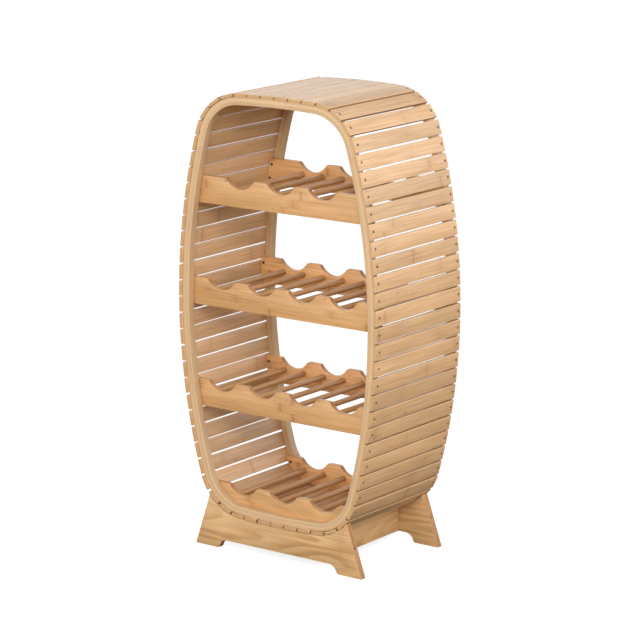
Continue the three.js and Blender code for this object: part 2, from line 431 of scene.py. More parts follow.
@dataclass(frozen=True)
class DrumShape:
    """The drum's closed outline over the slats: three tangent arcs a quarter, mirrored both ways."""

    width: float
    height: float
    middle_z: float
    crown_radius: float = 1675 * MM
    corner_radius: float = 96.6 * MM
    side_radius: float = 1108 * MM

    @property
    def corner_centre(self) -> Point:
        """Finds the centre of the upper right corner's arc.

        Returns:
            The centre, as X and Z from the drum's middle.
        """
        crown_z = self.height / 2 - self.crown_radius
        side_x = self.width / 2 - self.side_radius
        a = self.crown_radius - self.corner_radius
        b = self.side_radius - self.corner_radius
        span = math.hypot(side_x, crown_z)
        along = (a * a - b * b + span * span) / (2 * span)
        off = math.sqrt(a * a - along * along)
        ex, ez = side_x / span, -crown_z / span
        return along * ex + off * ez, crown_z + along * ez - off * ex

    def quarter(self, inset: float) -> tuple[Arc, Arc, Arc]:
        """Gives the crown, corner and side arcs of the upper right quarter.

        Args:
            inset: How far inside the outline they lie.

        Returns:
            The arcs, clockwise, from the drum's middle.
        """
        crown = (0.0, self.height / 2 - self.crown_radius)
        side = (self.width / 2 - self.side_radius, 0.0)
        x, z = self.corner_centre
        crown_end = math.atan2(z - crown[1], x - crown[0])
        side_end = math.atan2(z - side[1], x - side[0])
        return (
            Arc(crown, self.crown_radius - inset, math.pi / 2, crown_end),
            Arc((x, z), self.corner_radius - inset, crown_end, side_end),
            Arc(side, self.side_radius - inset, side_end, 0.0),
        )

    def perimeter(self, inset: float) -> float:
        """Gives the whole outline's length at an inset."""
        return 4 * sum(arc.length for arc in self.quarter(inset))

    def spot(self, inset: float, distance: float) -> Spot:
        """Finds a place on the outline.

        Args:
            inset: How far inside the outline.
            distance: How far clockwise from the crown's middle.

        Returns:
            The place, in the rack's frame.
        """
        arcs = self.quarter(inset)
        quarter = sum(arc.length for arc in arcs)
        turn = distance % (4 * quarter)
        quadrant = int(turn // quarter)
        left = quarter - turn % quarter if quadrant % 2 else turn % quarter
        arc = arcs[-1]
        for arc in arcs:
            if left <= arc.length:
                break
            left -= arc.length
        angle = arc.start - min(left, arc.length) / arc.radius
        x, z = arc.at(angle)
        sx = 1 if quadrant < 2 else -1
        sz = 1 if quadrant in (0, 3) else -1
        return Spot(sx * x, sz * z + self.middle_z, sx * math.cos(angle), sz * math.sin(angle))

    def trace(self, inset: float, x: float, z: float) -> tuple[float, float]:
        """Finds how far round the outline a point lies, and how deep inside it.

        Args:
            inset: The inset along which distance is measured.
            x: The point across.
            z: The point up, in the rack's frame.

        Returns:
            The distance clockwise from the crown's middle, and the depth inside the outline.
        """
        arcs = self.quarter(inset)
        h = z - self.middle_z
        ax, az = abs(x), abs(h)
        corner = arcs[1]
        bearing = math.atan2(az - corner.centre[1], ax - corner.centre[0])
        index = 0 if bearing > corner.start else 1 if bearing > corner.end else 2
        arc = arcs[index]
        angle = math.atan2(az - arc.centre[1], ax - arc.centre[0])
        distance = sum(a.length for a in arcs[:index]) + (arc.start - angle) * arc.radius
        depth = inset + arc.radius - math.hypot(ax - arc.centre[0], az - arc.centre[1])
        quarter = sum(a.length for a in arcs)
        if x >= 0:
            return (distance if h >= 0 else 2 * quarter - distance), depth
        return (4 * quarter - distance if h >= 0 else 2 * quarter + distance), depth

    def half_width(self, inset: float, z: float) -> float:
        """Gives the outline's half width at a height.

        Args:
            inset: How far inside the outline.
            z: The height, in the rack's frame.

        Returns:
            The half width.
        """
        _, corner, side = self.quarter(inset)
        rise = abs(z - self.middle_z)
        arc = side if rise < side.at(side.start)[1] else corner
        return arc.centre[0] + math.sqrt(arc.radius**2 - (rise - arc.centre[1]) ** 2)

    def centre_of(self, which: int, right: bool, upper: bool) -> Point:
        """Gives the centre of one of the drum's arcs in the rack's frame.

        Args:
            which: 0 for a crown, 1 for a corner, 2 for a side.
            right: Whether it is on the right.
            upper: Whether it is in the upper half.

        Returns:
            The centre, as X and Z.
        """
        x, z = self.quarter(0)[which].centre
        return (x if right else -x), self.middle_z + (z if upper else -z)

    def joint_of(self, which: int, inset: float, right: bool, upper: bool) -> Point:
        """Gives the point where an arc starts, in the rack's frame.

        Args:
            which: 1 where the crown meets the corner, 2 where the corner meets the side.
            inset: How far inside the outline.
            right: Whether it is on the right.
            upper: Whether it is in the upper half.

        Returns:
            The point, as X and Z.
        """
        arc = self.quarter(inset)[which]
        x, z = arc.at(arc.start)
        return (x if right else -x), self.middle_z + (z if upper else -z)


# How the grain lies in a piece


class Grain(Enum):
    """Which way a piece's fibres run."""

    ALONG_X = (0, 2, 1)
    ALONG_Y = (1, 0, 2)
    UPRIGHT_Y = (1, 2, 0)
    ROUND_THE_DRUM = None


class LotBook:
    """Deals each piece its own place in the grain and its own tone, the same every time."""

    def __init__(self, seed: int) -> None:
        """Starts the book from a seed."""
        self.dice = random.Random(seed)

    def deal(self, tone: float | None = None) -> tuple[float, float, float]:
        """Gives a piece's lot.

        Args:
            tone: The piece's tone from 0, pale, to 1, deep, or None to leave it to chance; fixed tones are set
                by place as painted light, palest inside or under the drum.

        Returns:
            Two places in the grain and the tone, each from 0 to 1.
        """
        first, second, third = self.dice.random(), self.dice.random(), self.dice.random()
        return first, second, third if tone is None else tone


def set_values(mesh: bpy.types.Mesh, name: str, kind: str, domain: str, values: np.ndarray) -> None:
    """Writes an attribute of a mesh.

    Args:
        mesh: The mesh.
        name: The attribute's name.
        kind: FLOAT or FLOAT_VECTOR.
        domain: POINT or CORNER.
        values: One row for each point or corner.
    """
    held = mesh.attributes.get(name) or mesh.attributes.new(name, kind, domain)
    part = "vector" if kind == "FLOAT_VECTOR" else "value"
    held.data.foreach_set(part, np.ascontiguousarray(values, np.float32).ravel())


def mark_lot(piece: bpy.types.Object, lot: Sequence[float]) -> None:
    """Gives every point of a piece its lot."""
    mesh = piece.data
    set_values(mesh, "lot", "FLOAT_VECTOR", "POINT", np.tile(np.array(lot), (len(mesh.vertices), 1)))


def lay_grain(
    piece: bpy.types.Object, run: Grain, drum: DrumShape | None = None, inset: float = 0.0
) -> None:
    """Writes where each corner of a piece lies in its grain, and which faces are eased, end grain or flanks; a
    slat's flanks later carry painted shade for the gaps between slats.

    Args:
        piece: The piece.
        run: Which way its fibres run.
        drum: The outline that bent fibres follow.
        inset: The inset along which their distance is measured.
    """
    square = 0.98
    slanted = 0.08
    mesh = piece.data
    points = np.array([v.co for v in mesh.vertices])
    corners = np.array([loop.vertex_index for loop in mesh.loops])
    grain = np.zeros((len(corners), 3))
    eased, section, flank_shade = (np.zeros(len(corners)) for _ in range(3))
    if run is Grain.ROUND_THE_DRUM:
        traced = np.array([drum.trace(inset, p[0], p[2]) for p in points])
        whole = np.column_stack([traced[:, 0], traced[:, 1] - inset, points[:, 1]])
        length = drum.perimeter(inset)
    else:
        whole = points[:, list(run.value)]
        length = 0.0
    for face in mesh.polygons:
        span = slice(face.loop_start, face.loop_start + face.loop_total)
        place = whole[corners[span]]
        if length and np.ptp(place[:, 0]) > length / 2:
            place = place.copy()
            place[place[:, 0] < length / 2, 0] += length
        grain[span] = place
        n = np.abs(face.normal)
        if run is Grain.ROUND_THE_DRUM:
            eased[span] = float(slanted < n[1] < square)
        else:
            section[span] = n[run.value[0]]
            eased[span] = float(slanted < n[1] < square if run is Grain.ALONG_X else max(n) < square)
            # Flanks: a slat's long side faces, darkened later as painted shade for the gaps between slats.
            flank_shade[span] = float(run is Grain.ALONG_Y and n[0] > square)
    set_values(mesh, "grain", "FLOAT_VECTOR", "CORNER", grain)
    set_values(mesh, "eased", "FLOAT", "CORNER", eased)
    set_values(mesh, "section", "FLOAT", "CORNER", section)
    set_values(mesh, "flank_shade", "FLOAT", "CORNER", flank_shade)


# Materials


class Graph:
    """A node tree being wired, with values or links for the inputs of each node."""

    def __init__(self, tree: bpy.types.NodeTree) -> None:
        """Takes the tree to wire."""
        self.tree = tree

    @classmethod
    def within(cls, owner: bpy.types.Material | bpy.types.World) -> "Graph":
        """Starts the empty node tree of a material or a world.

        Args:
            owner: The material or the world.

        Returns:
            Its tree, ready to wire.
        """
        owner.use_nodes = True
        owner.node_tree.nodes.clear()
        return cls(owner.node_tree)

    def node(
        self, kind: str, inputs: Mapping[str | int, object] | None = None, **settings: object
    ) -> bpy.types.Node:
        """Adds a node.

        Args:
            kind: The node's type.
            inputs: A value or a socket for each named or numbered input.
            settings: The node's own settings.

        Returns:
            The node.
        """
        made = self.tree.nodes.new(kind)
        for name, value in settings.items():
            setattr(made, name, value)
        for key, value in (inputs or {}).items():
            if isinstance(value, bpy.types.NodeSocket):
                self.tree.links.new(value, made.inputs[key])
            else:
                made.inputs[key].default_value = value
        return made

    def maths(self, operation: str, *values: float | Socket) -> Socket:
        """Adds a Math node and gives its result."""
        return self.node("ShaderNodeMath", dict(enumerate(values)), operation=operation).outputs[0]

    def vector(self, operation: str, *values: object) -> Socket:
        """Adds a Vector Math node and gives its vector."""
        return self.node("ShaderNodeVectorMath", dict(enumerate(values)), operation=operation).outputs[0]

    def split(self, value: Socket) -> tuple[Socket, Socket, Socket]:
        """Gives a vector's three parts."""
        return tuple(self.node("ShaderNodeSeparateXYZ", {0: value}).outputs)

    def combine(self, x: object, y: object, z: object) -> Socket:
        """Makes a vector of three parts."""
        return self.node("ShaderNodeCombineXYZ", {0: x, 1: y, 2: z}).outputs[0]

    def mix(self, factor: object, first: object, second: object, blend: str = "MIX") -> Socket:
        """Mixes two colours.

        Args:
            factor: How much of the second.
            first: The first colour.
            second: The second colour.
            blend: How they are mixed.

        Returns:
            The mixed colour.
        """
        inputs = {0: factor, 6: first, 7: second}
        return self.node("ShaderNodeMix", inputs, data_type="RGBA", blend_type=blend).outputs[2]

    def product(self, first: float | Socket, *others: float | Socket) -> float | Socket:
        """Multiplies values.

        Args:
            first: The first value.
            others: The values it is multiplied by, in turn.

        Returns:
            The product.
        """
        for other in others:
            first = self.maths("MULTIPLY", first, other)
        return first

    def step(
        self, value: object, low: object, high: object, out_low: object = 0.0, out_high: object = 1.0
    ) -> Socket:
        """Runs smoothly from one result to another as a value rises between two marks.

        Args:
            value: The value.
            low: The lower mark.
            high: The upper mark.
            out_low: The result below the lower mark.
            out_high: The result above the upper mark.

        Returns:
            The result.
        """
        inputs = {0: value, 1: low, 2: high, 3: out_low, 4: out_high}
        return self.node("ShaderNodeMapRange", inputs, interpolation_type="SMOOTHSTEP").outputs[0]

    def noise(
        self, place: Socket, scale: float = 1.0, detail: float = 2.0, rough: float = 0.5, bend: float = 0.0
    ) -> Socket:
        """Adds cloudy noise and gives its value.

        Args:
            place: Where it is read.
            scale: Its scale.
            detail: Its detail.
            rough: Its roughness.
            bend: Its distortion.

        Returns:
            The value from 0 to 1.
        """
        inputs = {"Vector": place, "Scale": scale, "Detail": detail, "Roughness": rough, "Distortion": bend}
        return self.node("ShaderNodeTexNoise", inputs).outputs[0]

    def read(self, name: str) -> bpy.types.Node:
        """Reads an attribute of the mesh."""
        return self.node("ShaderNodeAttribute", attribute_name=name)


class Effect:
    """A shader node group that several materials place, with named inputs and outputs."""

    name = ""
    inputs: Mapping[str, tuple[str, float]] = {}
    outputs: Mapping[str, str] = {}

    def __init__(self) -> None:
        """Builds the group once."""
        self.tree = bpy.data.node_groups.new(self.name, "ShaderNodeTree")
        for label, (kind, start) in self.inputs.items():
            made = self.tree.interface.new_socket(label, in_out="INPUT", socket_type="NodeSocket" + kind)
            if kind == "Float":
                made.default_value = start
        for label, kind in self.outputs.items():
            self.tree.interface.new_socket(label, in_out="OUTPUT", socket_type="NodeSocket" + kind)
        graph = Graph(self.tree)
        taken = graph.node("NodeGroupInput").outputs
        given = graph.node("NodeGroupOutput").inputs
        for label, socket in self.wire(graph, taken).items():
            self.tree.links.new(socket, given[label])

    def wire(self, graph: Graph, taken: Mapping[str, Socket]) -> dict[str, Socket]:
        """Wires the group.

        Args:
            graph: The group's tree.
            taken: The group's inputs.

        Returns:
            A socket for each output.
        """
        raise NotImplementedError

    def place(self, graph: Graph, **values: object) -> Mapping[str, Socket]:
        """Places the group in a material.

        Args:
            graph: The material's tree.
            values: A value or a socket for each input, with _ for a space.

        Returns:
            The group's outputs.
        """
        made = graph.node("ShaderNodeGroup", node_tree=self.tree)
        for label, value in values.items():
            socket = made.inputs[label.replace("_", " ")]
            if isinstance(value, bpy.types.NodeSocket):
                graph.tree.links.new(value, socket)
            else:
                socket.default_value = value
        return made.outputs


class FibreEffect(Effect):
    """Fine fibres and broader streaks that run along the grain."""

    name = "bamboo_fibre"
    inputs = {
        "Grain": ("Vector", 0),
        "Lot": ("Vector", 0),
        "Fibre Width": ("Float", 0.0008),
        "Run": ("Float", 0.07),
    }
    outputs = {"Fine": "Float", "Streak": "Float", "Cloud": "Float"}

    def wire(self, graph: Graph, taken: Mapping[str, Socket]) -> dict[str, Socket]:
        """Wires the fibres.

        Args:
            graph: The group's tree.
            taken: The group's inputs.

        Returns:
            A socket for each output.
        """
        apart = graph.node("ShaderNodeVectorMath", {0: taken["Lot"], "Scale": 9.0}, operation="SCALE")
        shifted = graph.vector("ADD", taken["Grain"], apart.outputs[0])
        along, across, through = graph.split(shifted)
        length = graph.maths("DIVIDE", along, taken["Run"])

        def streaks(widths: float, runs: float, bend: float) -> Socket:
            """Draws streaks some fibres wide and some runs long.

            Args:
                widths: How many fibres wide.
                runs: How many runs long.
                bend: How much they wander.

            Returns:
                The streaks from 0 to 1.
            """
            width = graph.maths("MULTIPLY", taken["Fibre Width"], widths)
            place = graph.combine(
                graph.maths("DIVIDE", length, runs),
                graph.maths("DIVIDE", across, width),
                graph.maths("DIVIDE", through, width),
            )
            return graph.noise(place, 1.0, 3.0, 0.55, bend)

        return {
            "Fine": streaks(1.0, 1.0, 0.1),
            "Streak": streaks(4.0, 2.2, 0.35),
            "Cloud": graph.noise(graph.vector("MULTIPLY", shifted, (9.0, 30.0, 30.0)), bend=0.3),
        }


class StripEffect(Effect):
    """Strips glued side by side, each with its own tone and growth nodes, and the seams between them."""

    name = "bamboo_strips"
    inputs = {
        "Grain": ("Vector", 0),
        "Lot": ("Vector", 0),
        "Strip Width": ("Float", 0.02),
        "Node Spacing": ("Float", 0.24),
        "Node Width": ("Float", 0.003),
    }
    outputs = {"Tone": "Float", "Node": "Float", "Halo": "Float", "Seam": "Float"}

    def wire(self, graph: Graph, taken: Mapping[str, Socket]) -> dict[str, Socket]:
        """Wires the strips.

        Args:
            graph: The group's tree.
            taken: The group's inputs.

        Returns:
            A socket for each output.
        """
        along, across, _ = graph.split(taken["Grain"])
        lot = graph.split(taken["Lot"])
        counted = graph.maths("DIVIDE", across, taken["Strip Width"])
        row = graph.maths("ADD", counted, graph.maths("MULTIPLY", lot[1], 7.0))
        strip = graph.maths("FLOOR", row)
        within = graph.maths("FRACT", row)
        own = [graph.maths("MULTIPLY", lot[part], spread) for part, spread in ((0, 61.0), (2, 17.0))]
        key = graph.combine(strip, *own)
        dealt = graph.node("ShaderNodeTexWhiteNoise", {"Vector": key}, noise_dimensions="3D")
        first, second, third = graph.split(dealt.outputs["Color"])
        wobble = graph.noise(graph.vector("MULTIPLY", taken["Grain"], (90.0, 260.0, 260.0)), 1.0, 2.0, 0.6)
        shift = graph.maths("MULTIPLY", graph.maths("SUBTRACT", wobble, 0.5), 0.004)
        travelled = graph.maths("DIVIDE", graph.maths("ADD", along, shift), taken["Node Spacing"])
        cycle = graph.maths("ADD", travelled, first)
        off = graph.maths("SUBTRACT", graph.maths("FRACT", cycle), 0.5)
        signed = graph.maths("MULTIPLY", off, taken["Node Spacing"])
        gap = graph.maths("ABSOLUTE", signed)
        node = graph.step(gap, 0.0, taken["Node Width"], 1.0, 0.0)
        node = graph.maths("MULTIPLY", node, graph.step(second, 0.15, 0.8, 0.25, 1.0))
        halo = graph.step(gap, 0.0, graph.maths("MULTIPLY", taken["Node Width"], 5.0), 1.0, 0.0)
        edge = graph.maths("SUBTRACT", 0.5, graph.maths("ABSOLUTE", graph.maths("SUBTRACT", within, 0.5)))
        seam = graph.step(graph.maths("MULTIPLY", edge, taken["Strip Width"]), 0.0, 0.0005, 1.0, 0.0)
        return {"Tone": third, "Node": node, "Halo": halo, "Seam": seam}


class EndGrainEffect(Effect):
    """Cut ends, where the fibre bundles show as dots."""

    name = "bamboo_end_grain"
    inputs = {"Grain": ("Vector", 0), "Section": ("Float", 0.0)}
    outputs = {"Cut": "Float", "Dots": "Float"}

    def wire(self, graph: Graph, taken: Mapping[str, Socket]) -> dict[str, Socket]:
        """Wires the dots.

        Args:
            graph: The group's tree.
            taken: The group's inputs.

        Returns:
            A socket for each output.
        """
        _, across, through = graph.split(taken["Grain"])
        bundles_per_metre = 1400.0
        place = graph.combine(0.0, *(graph.maths("MULTIPLY", v, bundles_per_metre) for v in (across, through)))
        cells = graph.node("ShaderNodeTexVoronoi", {"Vector": place, "Scale": 1.0})
        return {
            "Cut": graph.step(taken["Section"], 0.35, 0.9),
            "Dots": graph.step(cells.outputs["Distance"], 0.1, 0.55, 1.0, 0.0),
        }


class FlameEffect(Effect):
    """Growth-ring lines, as where a board is sawn across the growth: long loops that sharpen on one side."""

    name = "flame_figure"
    inputs = {"Grain": ("Vector", 0), "Lot": ("Vector", 0), "Lines": ("Float", 11.0)}
    outputs = {"Band": "Float", "Line": "Float"}

    def wire(self, graph: Graph, taken: Mapping[str, Socket]) -> dict[str, Socket]:
        """Wires the lines.

        Args:
            graph: The group's tree.
            taken: The group's inputs.

        Returns:
            A socket for each output.
        """
        shifted = graph.vector("ADD", taken["Grain"], taken["Lot"])
        swell = graph.noise(graph.vector("MULTIPLY", shifted, (2.4, 19.0, 19.0)), 1.0, 1.0, 0.35, 0.25)
        ripple = graph.noise(graph.vector("MULTIPLY", shifted, (14.0, 120.0, 120.0)))
        growth = graph.maths("ADD", swell, graph.maths("MULTIPLY", ripple, 0.035))
        phase = graph.maths("FRACT", graph.maths("MULTIPLY", growth, taken["Lines"]))
        rise = graph.step(phase, 0.1, 0.86)
        fall = graph.step(phase, 0.86, 1.0, 1.0, 0.0)
        broad = graph.noise(graph.vector("MULTIPLY", shifted, (7.0, 26.0, 26.0)), 1.0, 1.0, 0.4)
        return {"Band": graph.step(broad, 0.35, 0.65), "Line": graph.maths("MULTIPLY", rise, fall)}


class LaminationEffect(Effect):
    """Thin layers bent and glued one on another, read across the bend."""

    name = "bent_laminations"
    inputs = {"Grain": ("Vector", 0), "Layer": ("Float", 0.0035)}
    outputs = {"Tone": "Float", "Glue": "Float"}

    def wire(self, graph: Graph, taken: Mapping[str, Socket]) -> dict[str, Socket]:
        """Wires the layers.

        Args:
            graph: The group's tree.
            taken: The group's inputs.

        Returns:
            A socket for each output.
        """
        _, across, _ = graph.split(taken["Grain"])
        row = graph.maths("DIVIDE", across, taken["Layer"])
        within = graph.maths("FRACT", row)
        dealt = graph.node("ShaderNodeTexWhiteNoise", {"W": graph.maths("FLOOR", row)}, noise_dimensions="1D")
        edge = graph.maths("SUBTRACT", 0.5, graph.maths("ABSOLUTE", graph.maths("SUBTRACT", within, 0.5)))
        return {
            "Tone": dealt.outputs["Value"],
            "Glue": graph.step(graph.maths("MULTIPLY", edge, taken["Layer"]), 0.0, 0.0004, 1.0, 0.0),
        }


class WearAndHighlightEffect(Effect):
    """Eased edges, tinted and dulled a little: partly rubbed wear, and where the edge tint is paler, as on the
    slats, a painted highlight for the light that rounded edges catch.
    """

    name = "edge_wear_and_highlight"
    inputs = {"Grain": ("Vector", 0), "Eased": ("Float", 0.0), "Amount": ("Float", 0.5)}
    outputs = {"Wear And Highlight": "Float"}

    def wire(self, graph: Graph, taken: Mapping[str, Socket]) -> dict[str, Socket]:
        """Wires the mask of wear and painted highlight.

        Args:
            graph: The group's tree.
            taken: The group's inputs.

        Returns:
            A socket for each output.
        """
        patch = graph.noise(taken["Grain"], 160.0, 3.0, 0.6)
        worn_and_lit = graph.maths("MULTIPLY", taken["Eased"], graph.step(patch, 0.3, 0.7, 0.55, 1.0))
        return {"Wear And Highlight": graph.maths("MULTIPLY", worn_and_lit, taken["Amount"])}


@dataclass(frozen=True)
class BambooFinish:
    """Lacquered bamboo, with the figure that one kind of piece shows."""

    name: str
    slot: str
    pale: Colour
    deep: Colour
    node_tint: Colour
    cut_tint: Colour
    edge_tint: Colour
    fibre_width: float = 0.8 * MM
    run: float = 0.07
    streak_amount: float = 0.5
    fine_amount: float = 0.25
    lot_amount: float = 0.12
    strip_width: float = 20 * MM
    strip_amount: float = 0.10
    seam_amount: float = 0.25
    node_spacing: float = 0.24
    node_width: float = 3 * MM
    node_amount: float = 0.45
    flame_amount: float = 0.0
    layer_amount: float = 0.0
    # How dark a slat's flanks are painted: painted shade standing in for the shade in the gaps between slats.
    flank_shade_amount: float = 0.0
    # How far eased edges take the edge tint: wear, and on the slats a painted highlight.
    wear_and_highlight_amount: float = 0.5
    roughness: float = 0.42
    coat: float = 0.12
    coat_roughness: float = 0.3

    def level(
        self, graph: Graph, kit: "FinishKit", fibre: Mapping[str, Socket], strips: Mapping[str, Socket],
        lot: Socket,
    ) -> Socket:
        """Wires how light or dark the wood is, from its fibres up to the whole piece.

        Args:
            graph: The material's tree.
            kit: The shared effects.
            fibre: The placed fibres.
            strips: The placed strips.
            lot: The piece's lot.

        Returns:
            The level, about 1.
        """
        half_strip, half_lot = self.strip_amount / 2, self.lot_amount / 2
        shade = graph.step(fibre["Fine"], 0.3, 0.75, 1.0 + self.fine_amount * 0.4, 1.0 - self.fine_amount)
        cloud = graph.step(fibre["Cloud"], 0.25, 0.75, 1.04, 0.95)
        tone = graph.step(strips["Tone"], 0.0, 1.0, 1.0 + half_strip, 1.0 - half_strip)
        piece = graph.step(graph.split(lot)[2], 0.0, 1.0, 1.0 + half_lot, 1.0 - half_lot)
        level = graph.product(shade, cloud, tone, piece)
        if self.layer_amount:
            layers = kit.layers.place(graph, Grain=graph.read("grain").outputs["Vector"])
            layer = graph.step(layers["Tone"], 0.0, 1.0, 1.0, 1.0 - self.layer_amount)
            glue = graph.step(layers["Glue"], 0.0, 1.0, 1.0, 1.0 - self.layer_amount * 1.5)
            level = graph.product(level, layer, glue)
        return level

    def build(self, kit: "FinishKit") -> bpy.types.Material:
        """Builds the material.

        Args:
            kit: The shared effects.

        Returns:
            The material.
        """
        made = bpy.data.materials.new(self.name)
        graph = Graph.within(made)
        grain = graph.read("grain").outputs["Vector"]
        lot = graph.read("lot").outputs["Vector"]
        mark = linear(*self.node_tint)
        fibre = kit.fibre.place(graph, Grain=grain, Lot=lot, Fibre_Width=self.fibre_width, Run=self.run)
        strips = kit.strips.place(
            graph, Grain=grain, Lot=lot, Strip_Width=self.strip_width, Node_Spacing=self.node_spacing,
            Node_Width=self.node_width,
        )
        streaked = graph.step(fibre["Streak"], 0.3, 0.72, 0.0, self.streak_amount)
        colour = graph.mix(streaked, linear(*self.pale), linear(*self.deep))
        level = self.level(graph, kit, fibre, strips, lot)
        if self.flame_amount:
            rings = kit.flame.place(graph, Grain=grain, Lot=lot)
            strength = graph.step(rings["Band"], 0.0, 1.0, 0.45, 1.0)
            colour = graph.mix(graph.product(rings["Line"], strength, self.flame_amount), colour, mark)
        colour = graph.mix(1.0, colour, graph.combine(level, level, level), "MULTIPLY")
        marks = [
            (strips["Halo"], self.node_amount * 0.35), (strips["Node"], self.node_amount),
            (strips["Seam"], self.seam_amount),
        ]
        # Darkened flanks: painted shade in the gaps between slats.
        if self.flank_shade_amount:
            marks.append((graph.read("flank_shade").outputs["Fac"], self.flank_shade_amount))
        for mask, amount in marks:
            colour = graph.mix(graph.product(mask, amount), colour, mark)
        end = kit.end_grain.place(graph, Grain=grain, Section=graph.read("section").outputs["Fac"])
        cut_colour = graph.mix(graph.product(end["Dots"], 0.35), linear(*self.cut_tint), mark)
        colour = graph.mix(end["Cut"], colour, cut_colour)
        # Eased edges take the edge tint: rubbed wear, and where the tint is paler, as on the slats, a painted
        # highlight.
        eased = graph.read("eased").outputs["Fac"]
        wear_and_highlight = kit.wear_and_highlight.place(graph, Grain=grain, Eased=eased, Amount=self.wear_and_highlight_amount)["Wear And Highlight"]
        colour = graph.mix(wear_and_highlight, colour, linear(*self.edge_tint))
        rough = graph.step(fibre["Streak"], 0.2, 0.8, self.roughness - 0.05, self.roughness + 0.07)
        dull = graph.product(graph.maths("ADD", wear_and_highlight, end["Cut"]), 0.15)
        height = graph.maths("ADD", graph.product(fibre["Fine"], 0.7), graph.product(fibre["Streak"], 0.5))
        seam_groove = 0.4 if self.seam_amount else 0.0
        height = graph.maths("SUBTRACT", height, graph.product(strips["Seam"], seam_groove))
        height = graph.maths("ADD", height, graph.product(strips["Node"], 0.5))
        bump = graph.node("ShaderNodeBump", {"Strength": 0.25, "Distance": 0.15 * MM, "Height": height})
        shader = graph.node("ShaderNodeBsdfPrincipled", {
            "Base Color": colour, "Roughness": graph.maths("ADD", rough, dull), "Normal": bump.outputs[0],
            "Coat Weight": self.coat, "Coat Roughness": self.coat_roughness,
        })
        graph.node("ShaderNodeOutputMaterial", {"Surface": shader.outputs[0]})
        return made


@dataclass(frozen=True)
class SteelFinish:
    """Dark fixings steel, scuffed a little."""

    name: str
    tint: Colour
    bright: Colour
    roughness: float = 0.38
    scuff_scale: float = 900.0

    def build(self, kit: "FinishKit") -> bpy.types.Material:
        """Builds the material.

        Args:
            kit: The shared effects; not used.

        Returns:
            The material.
        """
        made = bpy.data.materials.new(self.name)
        graph = Graph.within(made)
        place = graph.node("ShaderNodeTexCoord").outputs["Object"]
        scuff = graph.noise(place, self.scuff_scale, 3.0, 0.6)
        colour = graph.mix(graph.step(scuff, 0.35, 0.7), linear(*self.tint), linear(*self.bright))
        rough = graph.step(scuff, 0.2, 0.8, self.roughness - 0.08, self.roughness + 0.12)
        bump = graph.node("ShaderNodeBump", {"Strength": 0.15, "Distance": 0.05 * MM, "Height": scuff})
        shader = graph.node(
            "ShaderNodeBsdfPrincipled",
            {"Base Color": colour, "Roughness": rough, "Metallic": 0.85, "Normal": bump.outputs[0]},
        )
        graph.node("ShaderNodeOutputMaterial", {"Surface": shader.outputs[0]})
        return made


Finish = BambooFinish | SteelFinish

# The slats' darkened flanks are painted shade for the gaps between them.
# The slats' paler edge tint is partly wear and partly a painted highlight on their eased edges.
SLAT_FINISH = BambooFinish(
    "slat_bamboo", "slat_bamboo", pale=(223, 183, 140), deep=(208, 161, 113), node_tint=(152, 102, 60),
    cut_tint=(203, 162, 114), edge_tint=(236, 203, 160), strip_width=60 * MM, strip_amount=0.0,
    seam_amount=0.0, node_spacing=0.27, node_width=7 * MM, node_amount=0.36, flank_shade_amount=0.75,
    wear_and_highlight_amount=0.55, lot_amount=0.18, fine_amount=0.24, streak_amount=0.7, fibre_width=1.0 * MM, run=0.075,
    coat=0.25, coat_roughness=0.28,
)
RING_FINISH = BambooFinish(
    "ring_bamboo", "ring_bamboo", pale=(230, 194, 151), deep=(216, 176, 129), node_tint=(160, 112, 64),
    cut_tint=(190, 148, 108), edge_tint=(229, 190, 142), run=0.12, strip_width=30 * MM, strip_amount=0.04,
    seam_amount=0.0, node_spacing=0.4, node_amount=0.18, layer_amount=0.13, lot_amount=0.03, fine_amount=0.1,
    coat=0.2,
)
SHELF_FINISH = BambooFinish(
    "shelf_bamboo", "shelf_bamboo", pale=(226, 176, 121), deep=(209, 155, 98), node_tint=(140, 82, 36),
    cut_tint=(170, 116, 70), edge_tint=(218, 168, 116), strip_width=15 * MM, strip_amount=0.09,
    seam_amount=0.12, node_spacing=0.21, node_width=4.5 * MM, node_amount=0.6, lot_amount=0.26,
    fine_amount=0.2, streak_amount=0.7, fibre_width=1.0 * MM,
)
DOWEL_FINISH = BambooFinish(
    "dowel_bamboo", "dowel_bamboo", pale=(203, 156, 106), deep=(176, 128, 80), node_tint=(128, 84, 46),
    cut_tint=(170, 124, 84), edge_tint=(204, 160, 116), strip_width=40 * MM, strip_amount=0.0,
    seam_amount=0.0, node_spacing=0.3, node_amount=0.3, lot_amount=0.16, fine_amount=0.18, streak_amount=0.9,
    fibre_width=0.6 * MM,
)
BASE_FINISH = BambooFinish(
    "base_bamboo", "base_bamboo", pale=(227, 187, 137), deep=(209, 162, 107), node_tint=(182, 126, 70),
    cut_tint=(178, 132, 90), edge_tint=(216, 174, 126), strip_width=90 * MM, strip_amount=0.0,
    seam_amount=0.0, node_amount=0.0, flame_amount=0.62, lot_amount=0.14, fine_amount=0.12,
    streak_amount=0.55, run=0.16, fibre_width=1.1 * MM,
)
NAIL_FINISH = SteelFinish("nail_steel", (50, 46, 34), (132, 128, 104), roughness=0.4, scuff_scale=210.0)
SCREW_FINISH = SteelFinish("screw_steel", (52, 54, 58), (92, 94, 100), roughness=0.32)


